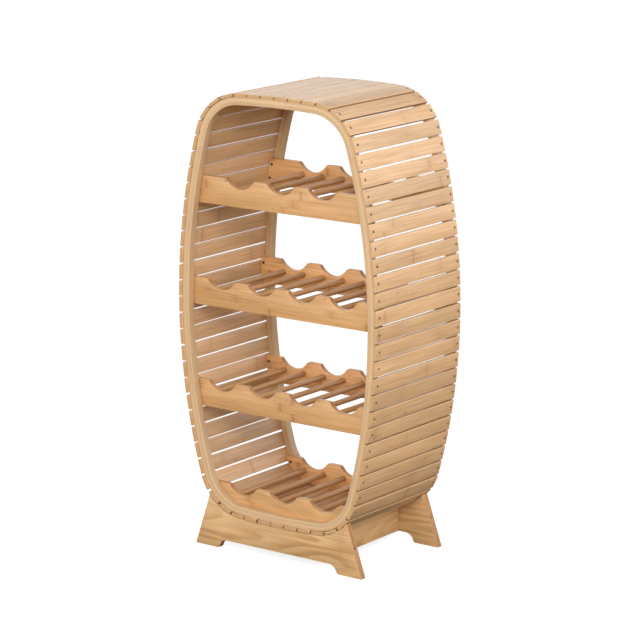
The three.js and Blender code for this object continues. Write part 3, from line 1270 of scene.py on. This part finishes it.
class FinishKit:
    """The shared effects and the materials built from them."""

    def __init__(self) -> None:
        """Builds the effects."""
        self.fibre = FibreEffect()
        self.strips = StripEffect()
        self.end_grain = EndGrainEffect()
        self.flame = FlameEffect()
        self.layers = LaminationEffect()
        self.wear_and_highlight = WearAndHighlightEffect()
        self.made: dict[str, bpy.types.Material] = {}

    def material(self, finish: Finish) -> bpy.types.Material:
        """Gives the material of a finish, building it the first time.

        Args:
            finish: The finish.

        Returns:
            Its material.
        """
        if finish.name not in self.made:
            self.made[finish.name] = finish.build(self)
        return self.made[finish.name]


@dataclass
class Workshop:
    """What every sub-assembly shares: the outline, the finishes and the lots."""

    drum: DrumShape
    finishes: FinishKit
    lots: LotBook

    def hand_over(self, piece: bpy.types.Object, finish: Finish, nodes: Iterable[str] = ()) -> bpy.types.Object:
        """Gives a piece its finish and ties it to the rack.

        Args:
            piece: The piece.
            finish: Its finish.
            nodes: The solids that it stands for.

        Returns:
            The piece.
        """
        piece.data.materials.clear()
        piece.data.materials.append(self.finishes.material(finish))
        for face in piece.data.polygons:
            face.material_index = 0
        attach(piece, BODY)
        for node in nodes:
            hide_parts(node)
        log.info("%s: %d faces", piece.name, len(piece.data.polygons))
        return piece


# Sub-assemblies


@dataclass
class Fixings:
    """Nails and screws, each modelled once and copied."""

    shop: Workshop
    nail_radius: float = 2.2 * MM
    nail_length: float = 11 * MM
    nail_head: float = 0.5 * MM
    nail_rim: tuple[float, float] = (0.35 * MM, 0.12 * MM)
    nail_dish: tuple[float, float] = (0.5 * MM, -0.14 * MM)
    nail_neck: float = 1.2 * MM
    screw_radius: float = 2.7 * MM
    screw_length: float = 14 * MM
    screw_head: float = 0.4 * MM
    screw_taper: float = 1.6 * MM
    cross_length: float = 2.9 * MM
    cross_width: float = 0.6 * MM
    cross_height: float = 1.8 * MM

    def nail(self) -> bpy.types.Object:
        """Models a nail whose head faces +Z at the origin.

        Returns:
            The nail.
        """
        made = disc("nail_master", self.nail_radius, self.nail_head, (0, 0, -self.nail_head / 2), 12)
        edit_faces(made, lambda normal: normal.z > 0.9)
        for width, depth in (self.nail_rim, self.nail_dish):
            bpy.ops.mesh.inset(thickness=width, depth=depth)
        edit_faces(made, lambda normal: normal.z < -0.9)
        bpy.ops.mesh.inset(thickness=self.nail_neck, depth=0)
        bpy.ops.mesh.extrude_region_move(TRANSFORM_OT_translate={"value": (0, 0, -self.nail_length)})
        bpy.ops.mesh.merge(type="CENTER")
        bpy.ops.object.mode_set(mode="OBJECT")
        smooth(made)
        return made

    def screw(self) -> bpy.types.Object:
        """Models a countersunk cross-head screw whose head faces +Z at the origin.

        Returns:
            The screw.
        """
        made = disc("screw_master", self.screw_radius, self.screw_head, (0, 0, -self.screw_head / 2), 20)
        edit_faces(made, lambda normal: normal.z < -0.9)
        for fall, narrowing in ((self.screw_taper, 0.5), (self.screw_length, 0.4)):
            bpy.ops.mesh.extrude_region_move(TRANSFORM_OT_translate={"value": (0, 0, -fall)})
            bpy.ops.transform.resize(value=(narrowing, narrowing, 1))
        bpy.ops.object.mode_set(mode="OBJECT")
        ease_edges(made, lambda a, b: a.z > -TOUCH and b.z > -TOUCH, 0.15 * MM, 1)
        long, wide, high = self.cross_length, self.cross_width, self.cross_height
        arms = [block("arm", size, (0, 0, 0)) for size in ((long, wide, high), (wide, long, high))]
        for arm in arms:
            cut(made, [arm])
        smooth(made)
        return made

    def set_out(
        self, master: bpy.types.Object, places: Sequence[Matrix], name: str, finish: Finish
    ) -> bpy.types.Object:
        """Copies a fixing to its places as one piece.

        Args:
            master: The fixing, modelled at the origin.
            places: Where each one goes.
            name: The piece's name.
            finish: Its finish.

        Returns:
            The piece.
        """
        copies = [copy_of(master, f"{name}_{i}", place) for i, place in enumerate(places)]
        return self.shop.hand_over(join(copies, name), finish)


@dataclass
class BentRing:
    """A closed ring bent from thin layers, which the slats are nailed to."""

    shop: Workshop
    name: str
    node: str
    inset: float
    thickness: float = 14 * MM
    rounding: float = 0.9 * MM
    crown_steps: int = 8
    corner_steps: int = 22
    side_steps: int = 26

    def build(self) -> bpy.types.Object:
        """Models the ring by carrying its section round the drum's arcs.

        Returns:
            The ring.
        """
        drum = self.shop.drum
        low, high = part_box(self.node)
        top = drum.middle_z + drum.height / 2 - self.inset
        deselect_all()
        middle = (0, (low.y + high.y) / 2, top - self.thickness / 2)
        bpy.ops.mesh.primitive_plane_add(size=1, location=middle, rotation=(0, math.radians(90), 0))
        bpy.context.object.scale = (self.thickness, high.y - low.y, 1)
        made = settle(self.name)
        bpy.ops.object.mode_set(mode="EDIT")
        bpy.ops.mesh.select_mode(type="VERT")
        bpy.ops.mesh.select_all(action="SELECT")
        bpy.ops.mesh.bevel(offset=self.rounding, segments=3, affect="VERTICES")
        bpy.ops.mesh.delete(type="ONLY_FACE")
        bpy.ops.mesh.select_all(action="SELECT")
        crown, corner, side = drum.quarter(self.inset)
        crown_turn, corner_turn, side_turn = (arc.start - arc.end for arc in (crown, corner, side))
        walk = [
            (0, True, True, crown_turn, self.crown_steps // 2),
            (1, True, True, corner_turn, self.corner_steps),
            (2, True, True, 2 * side_turn, self.side_steps),
            (1, True, False, corner_turn, self.corner_steps),
            (0, True, False, 2 * crown_turn, self.crown_steps),
            (1, False, False, corner_turn, self.corner_steps),
            (2, False, True, 2 * side_turn, self.side_steps),
            (1, False, True, corner_turn, self.corner_steps),
            (0, False, True, crown_turn, self.crown_steps // 2),
        ]
        for which, right, upper, turn, steps in walk:
            x, z = drum.centre_of(which, right, upper)
            bpy.ops.mesh.spin(steps=steps, angle=-turn, center=(x, 0, z), axis=(0, 1, 0))
        bpy.ops.object.mode_set(mode="OBJECT")
        face_out(made)
        smooth(made)
        lay_grain(made, Grain.ROUND_THE_DRUM, drum, self.inset)
        mark_lot(made, self.shop.lots.deal())
        return self.shop.hand_over(made, RING_FINISH, [self.node])


@dataclass
class SlatSkin:
    """The flat slats nailed side by side all round the drum."""

    shop: Workshop
    fixings: Fixings
    length: float
    inset: float
    width: float = 27 * MM
    thickness: float = 6 * MM
    space: float = 2.6 * MM
    panel_count: int = 18
    rounding: float = 0.9 * MM
    nail_hole_radius: float = 2.65 * MM
    nail_hole_depth: float = 1.3 * MM
    nail_head_depth: float = 0.6 * MM
    nail_from_front: float = 11 * MM
    nail_from_rear: float = 7 * MM
    end_easing: float = 0.2 * MM
    drift_round: float = 0.45 * MM
    drift_along: float = 0.15 * MM
    lifts: tuple[float, float] = (0.08 * MM, 0.28 * MM)
    tip_degrees: float = 0.35
    skew_degrees: float = 0.06
    nail_lean_degrees: float = 3.0
    width_share: tuple[float, float] = (0.99, 1.0)
    length_share: tuple[float, float] = (0.9975, 0.9985)
    seed: int = 41

    def nail_rows(self) -> tuple[float, float]:
        """Gives where the front and rear nails lie along Y."""
        return -self.length / 2 + self.nail_from_front, self.length / 2 - self.nail_from_rear

    def master(self) -> bpy.types.Object:
        """Models one slat lying flat at the origin, with eased edges and nail holes.

        Returns:
            The slat.
        """
        made = block("slat_master", (self.width, self.length, self.thickness), (0, 0, 0))
        ease_edges(made, lambda a, b: abs(a.y - b.y) > self.length / 2, self.rounding, 3)
        end = self.length / 2 - TOUCH
        ease_edges(
            made, lambda a, b: abs(a.y) > end and abs(b.y) > end and a.y * b.y > 0, self.end_easing, 1
        )
        lay_grain(made, Grain.ALONG_Y)
        face = self.thickness / 2
        cut(made, [
            disc("drill", self.nail_hole_radius, 2 * self.nail_hole_depth, (0, y, face), 18)
            for y in self.nail_rows()
        ])
        smooth(made)
        return made

    def build(self) -> None:
        """Sets the slats round the drum, each a little out of true, and nails them down."""
        drum, dice = self.shop.drum, random.Random(self.seed)
        path = drum.perimeter(self.inset)
        count = round(path / (self.width + self.space))
        pitch = path / count
        master, nail = self.master(), self.fixings.nail()
        rows: tuple[list[Matrix], list[Matrix]] = ([], [])

        def about(most: float) -> float:
            """Draws a small amount either way, up to the most."""
            return dice.uniform(-most, most)

        for k in range(count):
            panel = next(p for p in range(self.panel_count) if k < (p + 1) * count // self.panel_count)
            at = drum.spot(self.inset, (k + 0.5) * pitch + about(self.drift_round))
            lift = self.thickness / 2 + dice.uniform(*self.lifts)
            place = Matrix((
                (at.nz, 0, at.nx, at.x + at.nx * lift),
                (0, 1, 0, about(self.drift_along)),
                (-at.nx, 0, at.nz, at.z + at.nz * lift),
                (0, 0, 0, 1),
            ))
            place @= Matrix.Rotation(math.radians(about(self.tip_degrees)), 4, "Y")
            place @= Matrix.Rotation(math.radians(about(self.skew_degrees)), 4, "Z")
            trim = Matrix.Diagonal((dice.uniform(*self.width_share), dice.uniform(*self.length_share), 1, 1))
            slat = copy_of(master, f"slat_{k + 1:02d}", place @ trim)
            mark_lot(slat, self.shop.lots.deal())
            self.shop.hand_over(slat, SLAT_FINISH, [f"slat_panel_{panel + 1:02d}"])
            for row, y in zip(rows, self.nail_rows()):
                head = Matrix.Translation((0, y, self.thickness / 2 - self.nail_head_depth))
                lean = Matrix.Rotation(math.radians(about(self.nail_lean_degrees)), 4, "X")
                row.append(place @ head @ lean)
        self.fixings.set_out(nail, rows[0], "front_nails", NAIL_FINISH)
        self.fixings.set_out(nail, rows[1], "rear_nails", NAIL_FINISH)
        for used in (master, nail):
            bpy.data.objects.remove(used)


@dataclass
class Shelf:
    """One shelf: a front and a rear scalloped board with dowels between them."""

    shop: Workshop
    fixings: Fixings
    level: int
    bottles: int
    end_inset: float
    screw_inset: float
    bottle_pitch: float = 90 * MM
    cradle_radius: float = 36 * MM
    cradle_depth: float = 17.5 * MM
    shoulder_radius: float = 6 * MM
    under_cradle: float = 32 * MM
    dowel_radius: float = 5 * MM
    dowel_drop: float = 5 * MM
    dowel_share: float = 0.25
    socket_clearance: float = 0.25 * MM
    socket_depth: float = 6 * MM
    rounding: float = 0.8 * MM
    screw_rises: tuple[float, float] = (6 * MM, -19 * MM)
    lowest_screw_rises: tuple[float, float] = (6 * MM, -9 * MM)
    screw_sink: float = 0.25 * MM
    dowel_chamfer: float = 0.6 * MM
    dowel_sides: int = 24
    seat_radii: tuple[float, float] = (0.9 * MM, 3.4 * MM)
    seat_depth: float = 3.0 * MM
    seat_middle: float = -1.0 * MM
    shoulder_steps: int = 5
    cradle_steps: int = 18
    corner_steps: int = 16
    crown_steps: int = 8
    side_steps: int = 4
    # Fixed tones by place: the rear boards, inside the drum, get the palest as painted light for the light that
    # reaches them; the front boards a deeper one to match.
    front_tone: float = 0.74
    rear_painted_light_tone: float = 0.0

    @property
    def prefix(self) -> str:
        """The start of the shelf's names."""
        return f"shelf_{self.level}"

    @property
    def top_z(self) -> float:
        """The height of the boards' upper edge."""
        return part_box(f"{self.prefix}_front_board")[1].z

    @property
    def cradle_z(self) -> float:
        """The height of the cradles' lowest point."""
        return self.top_z - self.cradle_depth

    def cradle_middles(self) -> list[float]:
        """Gives where each bottle lies across."""
        return [(i - (self.bottles - 1) / 2) * self.bottle_pitch for i in range(self.bottles)]

    def draw_cradles(self, outline: Outline) -> None:
        """Draws the scalloped upper edge from left to right.

        Args:
            outline: The outline, whose pencil is at the upper left corner.
        """
        rise = self.cradle_radius - self.cradle_depth + self.shoulder_radius
        run = math.sqrt((self.cradle_radius + self.shoulder_radius) ** 2 - rise**2)
        share = self.cradle_radius / (self.cradle_radius + self.shoulder_radius)
        hub_z = self.cradle_z + self.cradle_radius
        shoulder_z = self.top_z - self.shoulder_radius
        for x in self.cradle_middles():
            outline.line_to((x - run, self.top_z))
            meet_z = hub_z - rise * share
            outline.curve_to((x - run * share, meet_z), (x - run, shoulder_z), self.shoulder_steps)
            outline.curve_to((x + run * share, meet_z), (x, hub_z), self.cradle_steps)
            outline.curve_to((x + run, self.top_z), (x + run, shoulder_z), self.shoulder_steps)

    def board(self, name: str, node: str) -> bpy.types.Object:
        """Models one scalloped board.

        Args:
            name: The board's name.
            node: The solid that it stands for.

        Returns:
            The board, not yet drilled.
        """
        drum, inset = self.shop.drum, self.end_inset
        low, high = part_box(node)
        top = self.top_z
        reach = drum.half_width(inset, top)
        outline = Outline(name, (-reach, top), low.y)
        self.draw_cradles(outline)
        outline.line_to((reach, top))
        if self.level == 1:
            foot = drum.joint_of(1, inset, True, False)
            outline.curve_to(foot, drum.centre_of(1, True, False), self.corner_steps)
            outline.curve_to((-foot[0], foot[1]), drum.centre_of(0, True, False), self.crown_steps)
            outline.curve_to((-reach, top), drum.centre_of(1, False, False), self.corner_steps)
        else:
            bottom = self.cradle_z - self.under_cradle
            foot = drum.half_width(inset, bottom)
            outline.curve_to((foot, bottom), drum.centre_of(2, True, True), self.side_steps)
            outline.line_to((-foot, bottom))
            outline.curve_to((-reach, top), drum.centre_of(2, False, True), self.side_steps)
        made = outline.pull(high.y - low.y)
        ease_by_angle(made, self.rounding)
        return made

    def dowel_middles(self) -> list[float]:
        """Gives where each dowel lies across."""
        off = self.bottle_pitch * self.dowel_share
        return [x + side * off for x in self.cradle_middles() for side in (-1, 1)]

    def screw_spots(self) -> list[Point]:
        """Gives where a board's screws go.

        Returns:
            Their places, as X and Z.
        """
        drum = self.shop.drum
        rises = self.screw_rises if self.level > 1 else self.lowest_screw_rises
        return [
            (side * drum.half_width(self.screw_inset, self.cradle_z + rise), self.cradle_z + rise)
            for side in (-1, 1)
            for rise in rises
        ]

    def drill(
        self, board: bpy.types.Object, sink: bpy.types.Object, inner_y: float, inwards: int
    ) -> None:
        """Bores the dowel sockets and sinks the screws in a board's inner face.

        Args:
            board: The board.
            sink: The cutter for a screw's countersink.
            inner_y: Where its inner face lies.
            inwards: 1 if the rack's middle is towards +Y, else -1.
        """
        z = self.cradle_z - self.dowel_drop
        ends = sorted((inner_y - inwards * self.socket_depth, inner_y + inwards * MM))
        radius = self.dowel_radius + self.socket_clearance
        cutters = [rod("socket", radius, *ends, x, z, self.dowel_sides) for x in self.dowel_middles()]
        for x, screw_z in self.screw_spots():
            cutters.append(copy_of(sink, "seat", self.screw_place(x, inner_y, screw_z, inwards, 0)))
        cut(board, cutters)

    def screw_place(self, x: float, y: float, z: float, inwards: int, depth: float) -> Matrix:
        """Turns a screw modelled facing +Z to face the rack's middle.

        Args:
            x: Where it goes across.
            y: Where it goes along the rack.
            z: Where it goes up.
            inwards: 1 if it faces +Y, else -1.
            depth: How deep its head lies.

        Returns:
            Its place.
        """
        turn = Matrix.Rotation(math.radians(-90 * inwards), 4, "X")
        return Matrix.Translation((x, y - inwards * depth, z)) @ turn

    def seat_cutter(self) -> bpy.types.Object:
        """Models the countersink that a screw's head sits in, facing +Z.

        Returns:
            The cutter.
        """
        deselect_all()
        narrow, wide = self.seat_radii
        bpy.ops.mesh.primitive_cone_add(
            vertices=20, radius1=narrow, radius2=wide, depth=self.seat_depth, location=(0, 0, self.seat_middle)
        )
        return settle("seat_master")

    def dowel(self, number: int, x: float) -> bpy.types.Object:
        """Models one dowel with chamfered ends.

        Args:
            number: Its number on the shelf.
            x: Where it lies across.

        Returns:
            The dowel.
        """
        node = f"{self.prefix}_dowel_{number}"
        low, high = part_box(node)
        z = (low.z + high.z) / 2
        made = rod(f"{self.prefix}_rod_{number}", self.dowel_radius, low.y, high.y, x, z, self.dowel_sides)

        def round_an_end(first: Vector, second: Vector) -> bool:
            """Says whether an edge runs round one of the dowel's ends."""
            at_end = all(min(abs(p.y - low.y), abs(p.y - high.y)) < TOUCH for p in (first, second))
            return at_end and abs(first.y - second.y) < MM

        ease_edges(made, round_an_end, self.dowel_chamfer, 2)
        smooth(made)
        lay_grain(made, Grain.ALONG_Y)
        mark_lot(made, self.shop.lots.deal())
        return self.shop.hand_over(made, DOWEL_FINISH, [node])

    def build(self, screw: bpy.types.Object) -> None:
        """Builds the boards, their screws and the dowels.

        Args:
            screw: The screw that is copied.
        """
        sink = self.seat_cutter()
        for side, inwards in (("front", 1), ("rear", -1)):
            node = f"{self.prefix}_{side}_board"
            low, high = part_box(node)
            inner_y = high.y if inwards > 0 else low.y
            board = self.board(f"{self.prefix}_{side}_scallop", node)
            lay_grain(board, Grain.ALONG_X)
            self.drill(board, sink, inner_y, inwards)
            smooth(board)
            # Rear boards are dealt the palest tone: painted light inside the drum.
            mark_lot(board, self.shop.lots.deal(self.front_tone if side == "front" else self.rear_painted_light_tone))
            self.shop.hand_over(board, SHELF_FINISH, [node])
            places = [self.screw_place(x, inner_y, z, inwards, self.screw_sink) for x, z in self.screw_spots()]
            self.fixings.set_out(screw, places, f"{self.prefix}_{side}_screws", SCREW_FINISH)
        bpy.data.objects.remove(sink)
        for number, x in enumerate(self.dowel_middles(), 1):
            self.dowel(number, x)


@dataclass
class Base:
    """Two foot boards cut to cradle the drum, with a stretcher between them on each side."""

    shop: Workshop
    fixings: Fixings
    half_width: float = 186 * MM
    lean: float = 0.35
    foot_length: float = 54 * MM
    arch_height: float = 16 * MM
    arch_radius: float = 17 * MM
    lip_radius: float = 4 * MM
    cradle_gap: float = 0.85 * MM
    rounding: float = 0.9 * MM
    channel_width: float = 6 * MM
    channel_depth: float = 3.5 * MM
    channel_share: float = 0.52
    channel_run: float = 80 * MM
    arch_steps: int = 7
    lip_steps: int = 5
    corner_steps: int = 14
    crown_steps: int = 8
    screw_rise: float = 0.6 * MM
    # Fixed tones by place: the rear foot and the stretchers, under the drum, get the palest as painted light;
    # the front foot a deeper one to match.
    front_tone: float = 0.6
    rear_painted_light_tone: float = 0.0

    def tip(self) -> Point:
        """Finds where the leaning end face runs into the drum's outline.

        Returns:
            The place on the right, as X and Z.
        """
        drum = self.shop.drum
        _, corner, _ = drum.quarter(-self.cradle_gap)
        low, high = corner.end, corner.start
        for _ in range(50):
            mid = (low + high) / 2
            x, z = corner.at(mid)
            if x > self.half_width - self.lean * (drum.middle_z - z):
                low = mid
            else:
                high = mid
        x, z = corner.at((low + high) / 2)
        return x, drum.middle_z - z

    def board(self, name: str, node: str) -> bpy.types.Object:
        """Models one foot board with its arch, leaning ends and cradle.

        Args:
            name: The board's name.
            node: The solid that it stands for.

        Returns:
            The board.
        """
        drum = self.shop.drum
        low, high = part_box(node)
        tip_x, tip_z = self.tip()
        arch_x = self.half_width - self.foot_length - self.arch_radius
        hub_z = self.arch_height - self.arch_radius
        reach = self.arch_radius + self.lip_radius
        rise = self.lip_radius - hub_z
        lip_x = arch_x + math.sqrt(reach**2 - rise**2)
        share = self.arch_radius / reach
        meet = (arch_x + (lip_x - arch_x) * share, hub_z + rise * share)
        outline = Outline(name, (-arch_x, self.arch_height), low.y)
        outline.line_to((arch_x, self.arch_height))
        outline.curve_to(meet, (arch_x, hub_z), self.arch_steps)
        outline.curve_to((lip_x, 0), (lip_x, self.lip_radius), self.lip_steps)
        outline.line_to((self.half_width, 0)).line_to((tip_x, tip_z))
        foot = drum.joint_of(1, -self.cradle_gap, True, False)
        outline.curve_to(foot, drum.centre_of(1, True, False), self.corner_steps)
        outline.curve_to((-foot[0], foot[1]), drum.centre_of(0, True, False), self.crown_steps)
        outline.curve_to((-tip_x, tip_z), drum.centre_of(1, False, False), self.corner_steps)
        outline.line_to((-self.half_width, 0)).line_to((-lip_x, 0))
        outline.curve_to((-meet[0], meet[1]), (-lip_x, self.lip_radius), self.lip_steps)
        outline.curve_to((-arch_x, self.arch_height), (-arch_x, hub_z), self.arch_steps)
        made = outline.pull(high.y - low.y)
        ease_by_angle(made, self.rounding)
        return made

    def end_place(self, side: int, z: float, y: float) -> Matrix:
        """Gives a frame on an end face, with +Z square out of it.

        Args:
            side: 1 for the right end, -1 for the left.
            z: The height on the face.
            y: Where it lies along the rack.

        Returns:
            The frame.
        """
        tilt = math.radians(90) - math.atan(self.lean)
        across = side * (self.half_width - self.lean * z)
        return Matrix.Translation((across, y, z)) @ Matrix.Rotation(side * tilt, 4, "Y")

    def channel(self, side: int, y: float) -> bpy.types.Object:
        """Models the cutter for the open-ended driver channel in an end face.

        Args:
            side: 1 for the right end, -1 for the left.
            y: The middle of the board's thickness.

        Returns:
            The cutter.
        """
        start = self.tip()[1] * self.channel_share
        size = (self.channel_run, self.channel_width, 2 * self.channel_depth)
        slot = block("channel", size, (-self.channel_run / 2, 0, 0))

        def upright_at_start(first: Vector, second: Vector) -> bool:
            """Says whether an edge stands upright at the channel's closed end."""
            return min(first.x, second.x) > -TOUCH and abs(first.z - second.z) > MM

        ease_edges(slot, upright_at_start, self.channel_width / 2.02, 6)
        turn = Matrix.Rotation(math.radians(180), 4, "Z") if side < 0 else Matrix.Identity(4)
        slot.data.transform(self.end_place(side, start, y) @ turn)
        return slot

    def stretcher(self, name: str, node: str) -> bpy.types.Object:
        """Models one stretcher with eased edges.

        Args:
            name: Its name.
            node: The solid that it stands for.

        Returns:
            The stretcher.
        """
        low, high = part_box(node)
        made = block(name, high - low, (low + high) / 2)
        ease_by_angle(made, self.rounding)
        smooth(made)
        lay_grain(made, Grain.UPRIGHT_Y)
        # Stretchers get the rear's pale tone: painted light under the drum.
        mark_lot(made, self.shop.lots.deal(self.rear_painted_light_tone))
        return self.shop.hand_over(made, BASE_FINISH, [node])

    def build(self, screw: bpy.types.Object) -> None:
        """Builds the foot boards, their screws and the stretchers.

        Args:
            screw: The screw that is copied.
        """
        for side in ("front", "rear"):
            node = f"{side}_foot_board"
            low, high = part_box(node)
            middle = (low.y + high.y) / 2
            board = self.board(f"{side}_foot", node)
            lay_grain(board, Grain.ALONG_X)
            for end in (-1, 1):
                cut(board, [self.channel(end, middle)])
            smooth(board)
            # The rear foot is dealt the palest tone: painted light under the drum.
            mark_lot(board, self.shop.lots.deal(self.front_tone if side == "front" else self.rear_painted_light_tone))
            self.shop.hand_over(board, BASE_FINISH, [node])
            rise = self.tip()[1] * self.channel_share + self.channel_width / 2
            sunk = Matrix.Translation((0, 0, self.screw_rise - self.channel_depth))
            places = [self.end_place(end, rise, middle) @ sunk for end in (-1, 1)]
            self.fixings.set_out(screw, places, f"{side}_foot_screws", SCREW_FINISH)
        for side in ("left", "right"):
            self.stretcher(f"{side}_stretcher_bar", f"{side}_stretcher")


# Camera, floor and light


@dataclass(frozen=True)
class Viewpoint:
    """Where the camera stands, in degrees, metres and millimetres of lens."""

    azimuth: float = 37.18
    elevation: float = 12.89
    roll: float = -0.24
    distance: float = 5.19
    aim: tuple[float, float, float] = (-0.0002, 0.00275, 0.4142)
    lens: float = 164.29
    sensor: float = 36.0

    def build(self) -> None:
        """Makes the scene's camera."""
        data = bpy.data.cameras.new("camera")
        data.lens, data.sensor_width, data.sensor_fit = self.lens, self.sensor, "HORIZONTAL"
        data.clip_start, data.clip_end = 0.1, 100
        made = bpy.data.objects.new("camera", data)
        bpy.context.scene.collection.objects.link(made)
        turn, lift, roll = (math.radians(a) for a in (self.azimuth, self.elevation, self.roll))
        back = Vector((math.sin(turn) * math.cos(lift), -math.cos(turn) * math.cos(lift), math.sin(lift)))
        right = Vector((0, 0, 1)).cross(back).normalized()
        up = back.cross(right)
        across = math.cos(roll) * right + math.sin(roll) * up
        upward = math.cos(roll) * up - math.sin(roll) * right
        place = Matrix((across, upward, back)).transposed().to_4x4()
        place.translation = Vector(self.aim) + back * self.distance
        made.matrix_world = place
        bpy.context.scene.camera = made


@dataclass(frozen=True)
class SoftBox:
    """A large soft light that faces a point."""

    name: str
    place: tuple[float, float, float]
    size: float
    watts: float
    aim: tuple[float, float, float] = (0.0, 0.0, 0.42)

    def build(self) -> None:
        """Makes the light."""
        data = bpy.data.lights.new(self.name, "AREA")
        data.shape, data.size, data.energy = "SQUARE", self.size, self.watts
        made = bpy.data.objects.new(self.name, data)
        bpy.context.scene.collection.objects.link(made)
        made.location = self.place
        made.rotation_euler = (Vector(self.aim) - Vector(self.place)).to_track_quat("-Z", "Y").to_euler()


@dataclass(frozen=True)
class Studio:
    """A plain pale room: floor, soft lights, and a sky with a bright backdrop."""

    floor_size: float = 60.0
    floor_z: float = -0.2 * MM
    sky: float = 0.35
    front: float = 0.86
    backdrop: float = 1.8
    floor_seen: float = 0.42
    floor_bounce: Colour = (0.14, 0.105, 0.055)
    glow: float = 0.82
    boxes: tuple[SoftBox, ...] = (
        SoftBox("key", (1.6, -2.3, 1.8), 1.1, 54),
        SoftBox("front_left", (-0.9, -3.9, 1.1), 1.8, 44),
        SoftBox("right_side", (3.0, -0.5, 1.7), 1.8, 36),
    )

    def build_floor(self) -> None:
        """Makes the floor, which is seen paler than the light it gives back."""
        deselect_all()
        bpy.ops.mesh.primitive_plane_add(size=self.floor_size, location=(0, 0, self.floor_z))
        floor = settle("floor")
        made = bpy.data.materials.new("floor")
        graph = Graph.within(made)
        mottle = graph.noise(graph.node("ShaderNodeTexCoord").outputs["Object"], 3.0, 2.0)

        def paint(tint: Colour, glow: float) -> Socket:
            """Gives a dull, slightly mottled paint.

            Args:
                tint: Its linear colour.
                glow: How much white light it gives off.

            Returns:
                The shader.
            """
            colour = graph.mix(mottle, (*tint, 1), (*(level * 1.02 for level in tint), 1))
            inputs = {
                "Base Color": colour, "Roughness": 0.9, "Specular IOR Level": 0.0,
                "Emission Color": (1, 1, 1, 1), "Emission Strength": glow,
            }
            return graph.node("ShaderNodeBsdfPrincipled", inputs).outputs[0]

        ray = graph.node("ShaderNodeLightPath").outputs["Is Camera Ray"]
        inputs = {0: ray, 1: paint(self.floor_bounce, 0.0), 2: paint((self.floor_seen,) * 3, self.glow)}
        both = graph.node("ShaderNodeMixShader", inputs)
        graph.node("ShaderNodeOutputMaterial", {"Surface": both.outputs[0]})
        floor.data.materials.append(made)

    def build_sky(self) -> None:
        """Makes a pale sky with a bright backdrop low down behind the rack."""
        world = bpy.data.worlds.new("studio")
        bpy.context.scene.world = world
        graph = Graph.within(world)
        _, depth, height = graph.split(graph.node("ShaderNodeTexCoord").outputs["Generated"])
        low_down = graph.step(height, 0.15, 0.75, 1.0, 0.0)
        behind = graph.maths("MULTIPLY", graph.step(depth, -0.25, 0.55), low_down)
        base = graph.step(height, 0.0, 0.7, self.front, self.sky)
        level = graph.maths("ADD", base, graph.maths("MULTIPLY", behind, self.backdrop - self.front))
        lit = graph.node("ShaderNodeBackground", {"Color": (1, 1, 1, 1), "Strength": level})
        seen = graph.node("ShaderNodeBackground", {"Color": (1, 1, 1, 1), "Strength": 1.0})
        ray = graph.node("ShaderNodeLightPath").outputs["Is Camera Ray"]
        both = graph.node("ShaderNodeMixShader", {0: ray, 1: lit.outputs[0], 2: seen.outputs[0]})
        graph.node("ShaderNodeOutputWorld", {"Surface": both.outputs[0]})

    def build(self) -> None:
        """Makes the floor, the sky and the lights."""
        self.build_floor()
        self.build_sky()
        for box in self.boxes:
            box.build()
        bpy.context.scene.view_settings.view_transform = "Standard"


def measure_drum(slat_and_gap: float) -> DrumShape:
    """Works out the drum's outline from the front ring's box.

    Args:
        slat_and_gap: How far the ring's outside lies inside the slats' outside.

    Returns:
        The outline over the slats.
    """
    low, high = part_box("front_ring")
    width, height = (high[i] - low[i] + 2 * slat_and_gap for i in (0, 2))
    return DrumShape(width, height, (low.z + high.z) / 2)


def main() -> None:
    """Builds the rack and its setting."""
    logging.basicConfig(level=logging.INFO, format="%(message)s")
    shop = Workshop(measure_drum(RING_INSET), FinishKit(), LotBook(LOT_SEED))
    fixings = Fixings(shop)
    Viewpoint().build()
    for side in ("front", "rear"):
        BentRing(shop, f"{side}_bent_ring", f"{side}_ring", RING_INSET).build()
    low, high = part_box("slat_panel_01")
    SlatSkin(shop, fixings, high.y - low.y, RING_INSET).build()
    screw = fixings.screw()
    for level, bottles in enumerate(BOTTLES_BY_SHELF, 1):
        Shelf(shop, fixings, level, bottles, SHELF_END_INSET, SHELF_SCREW_INSET).build(screw)
    Base(shop, fixings).build(screw)
    bpy.data.objects.remove(screw)
    Studio().build()


if __name__ == "__main__":
    main()
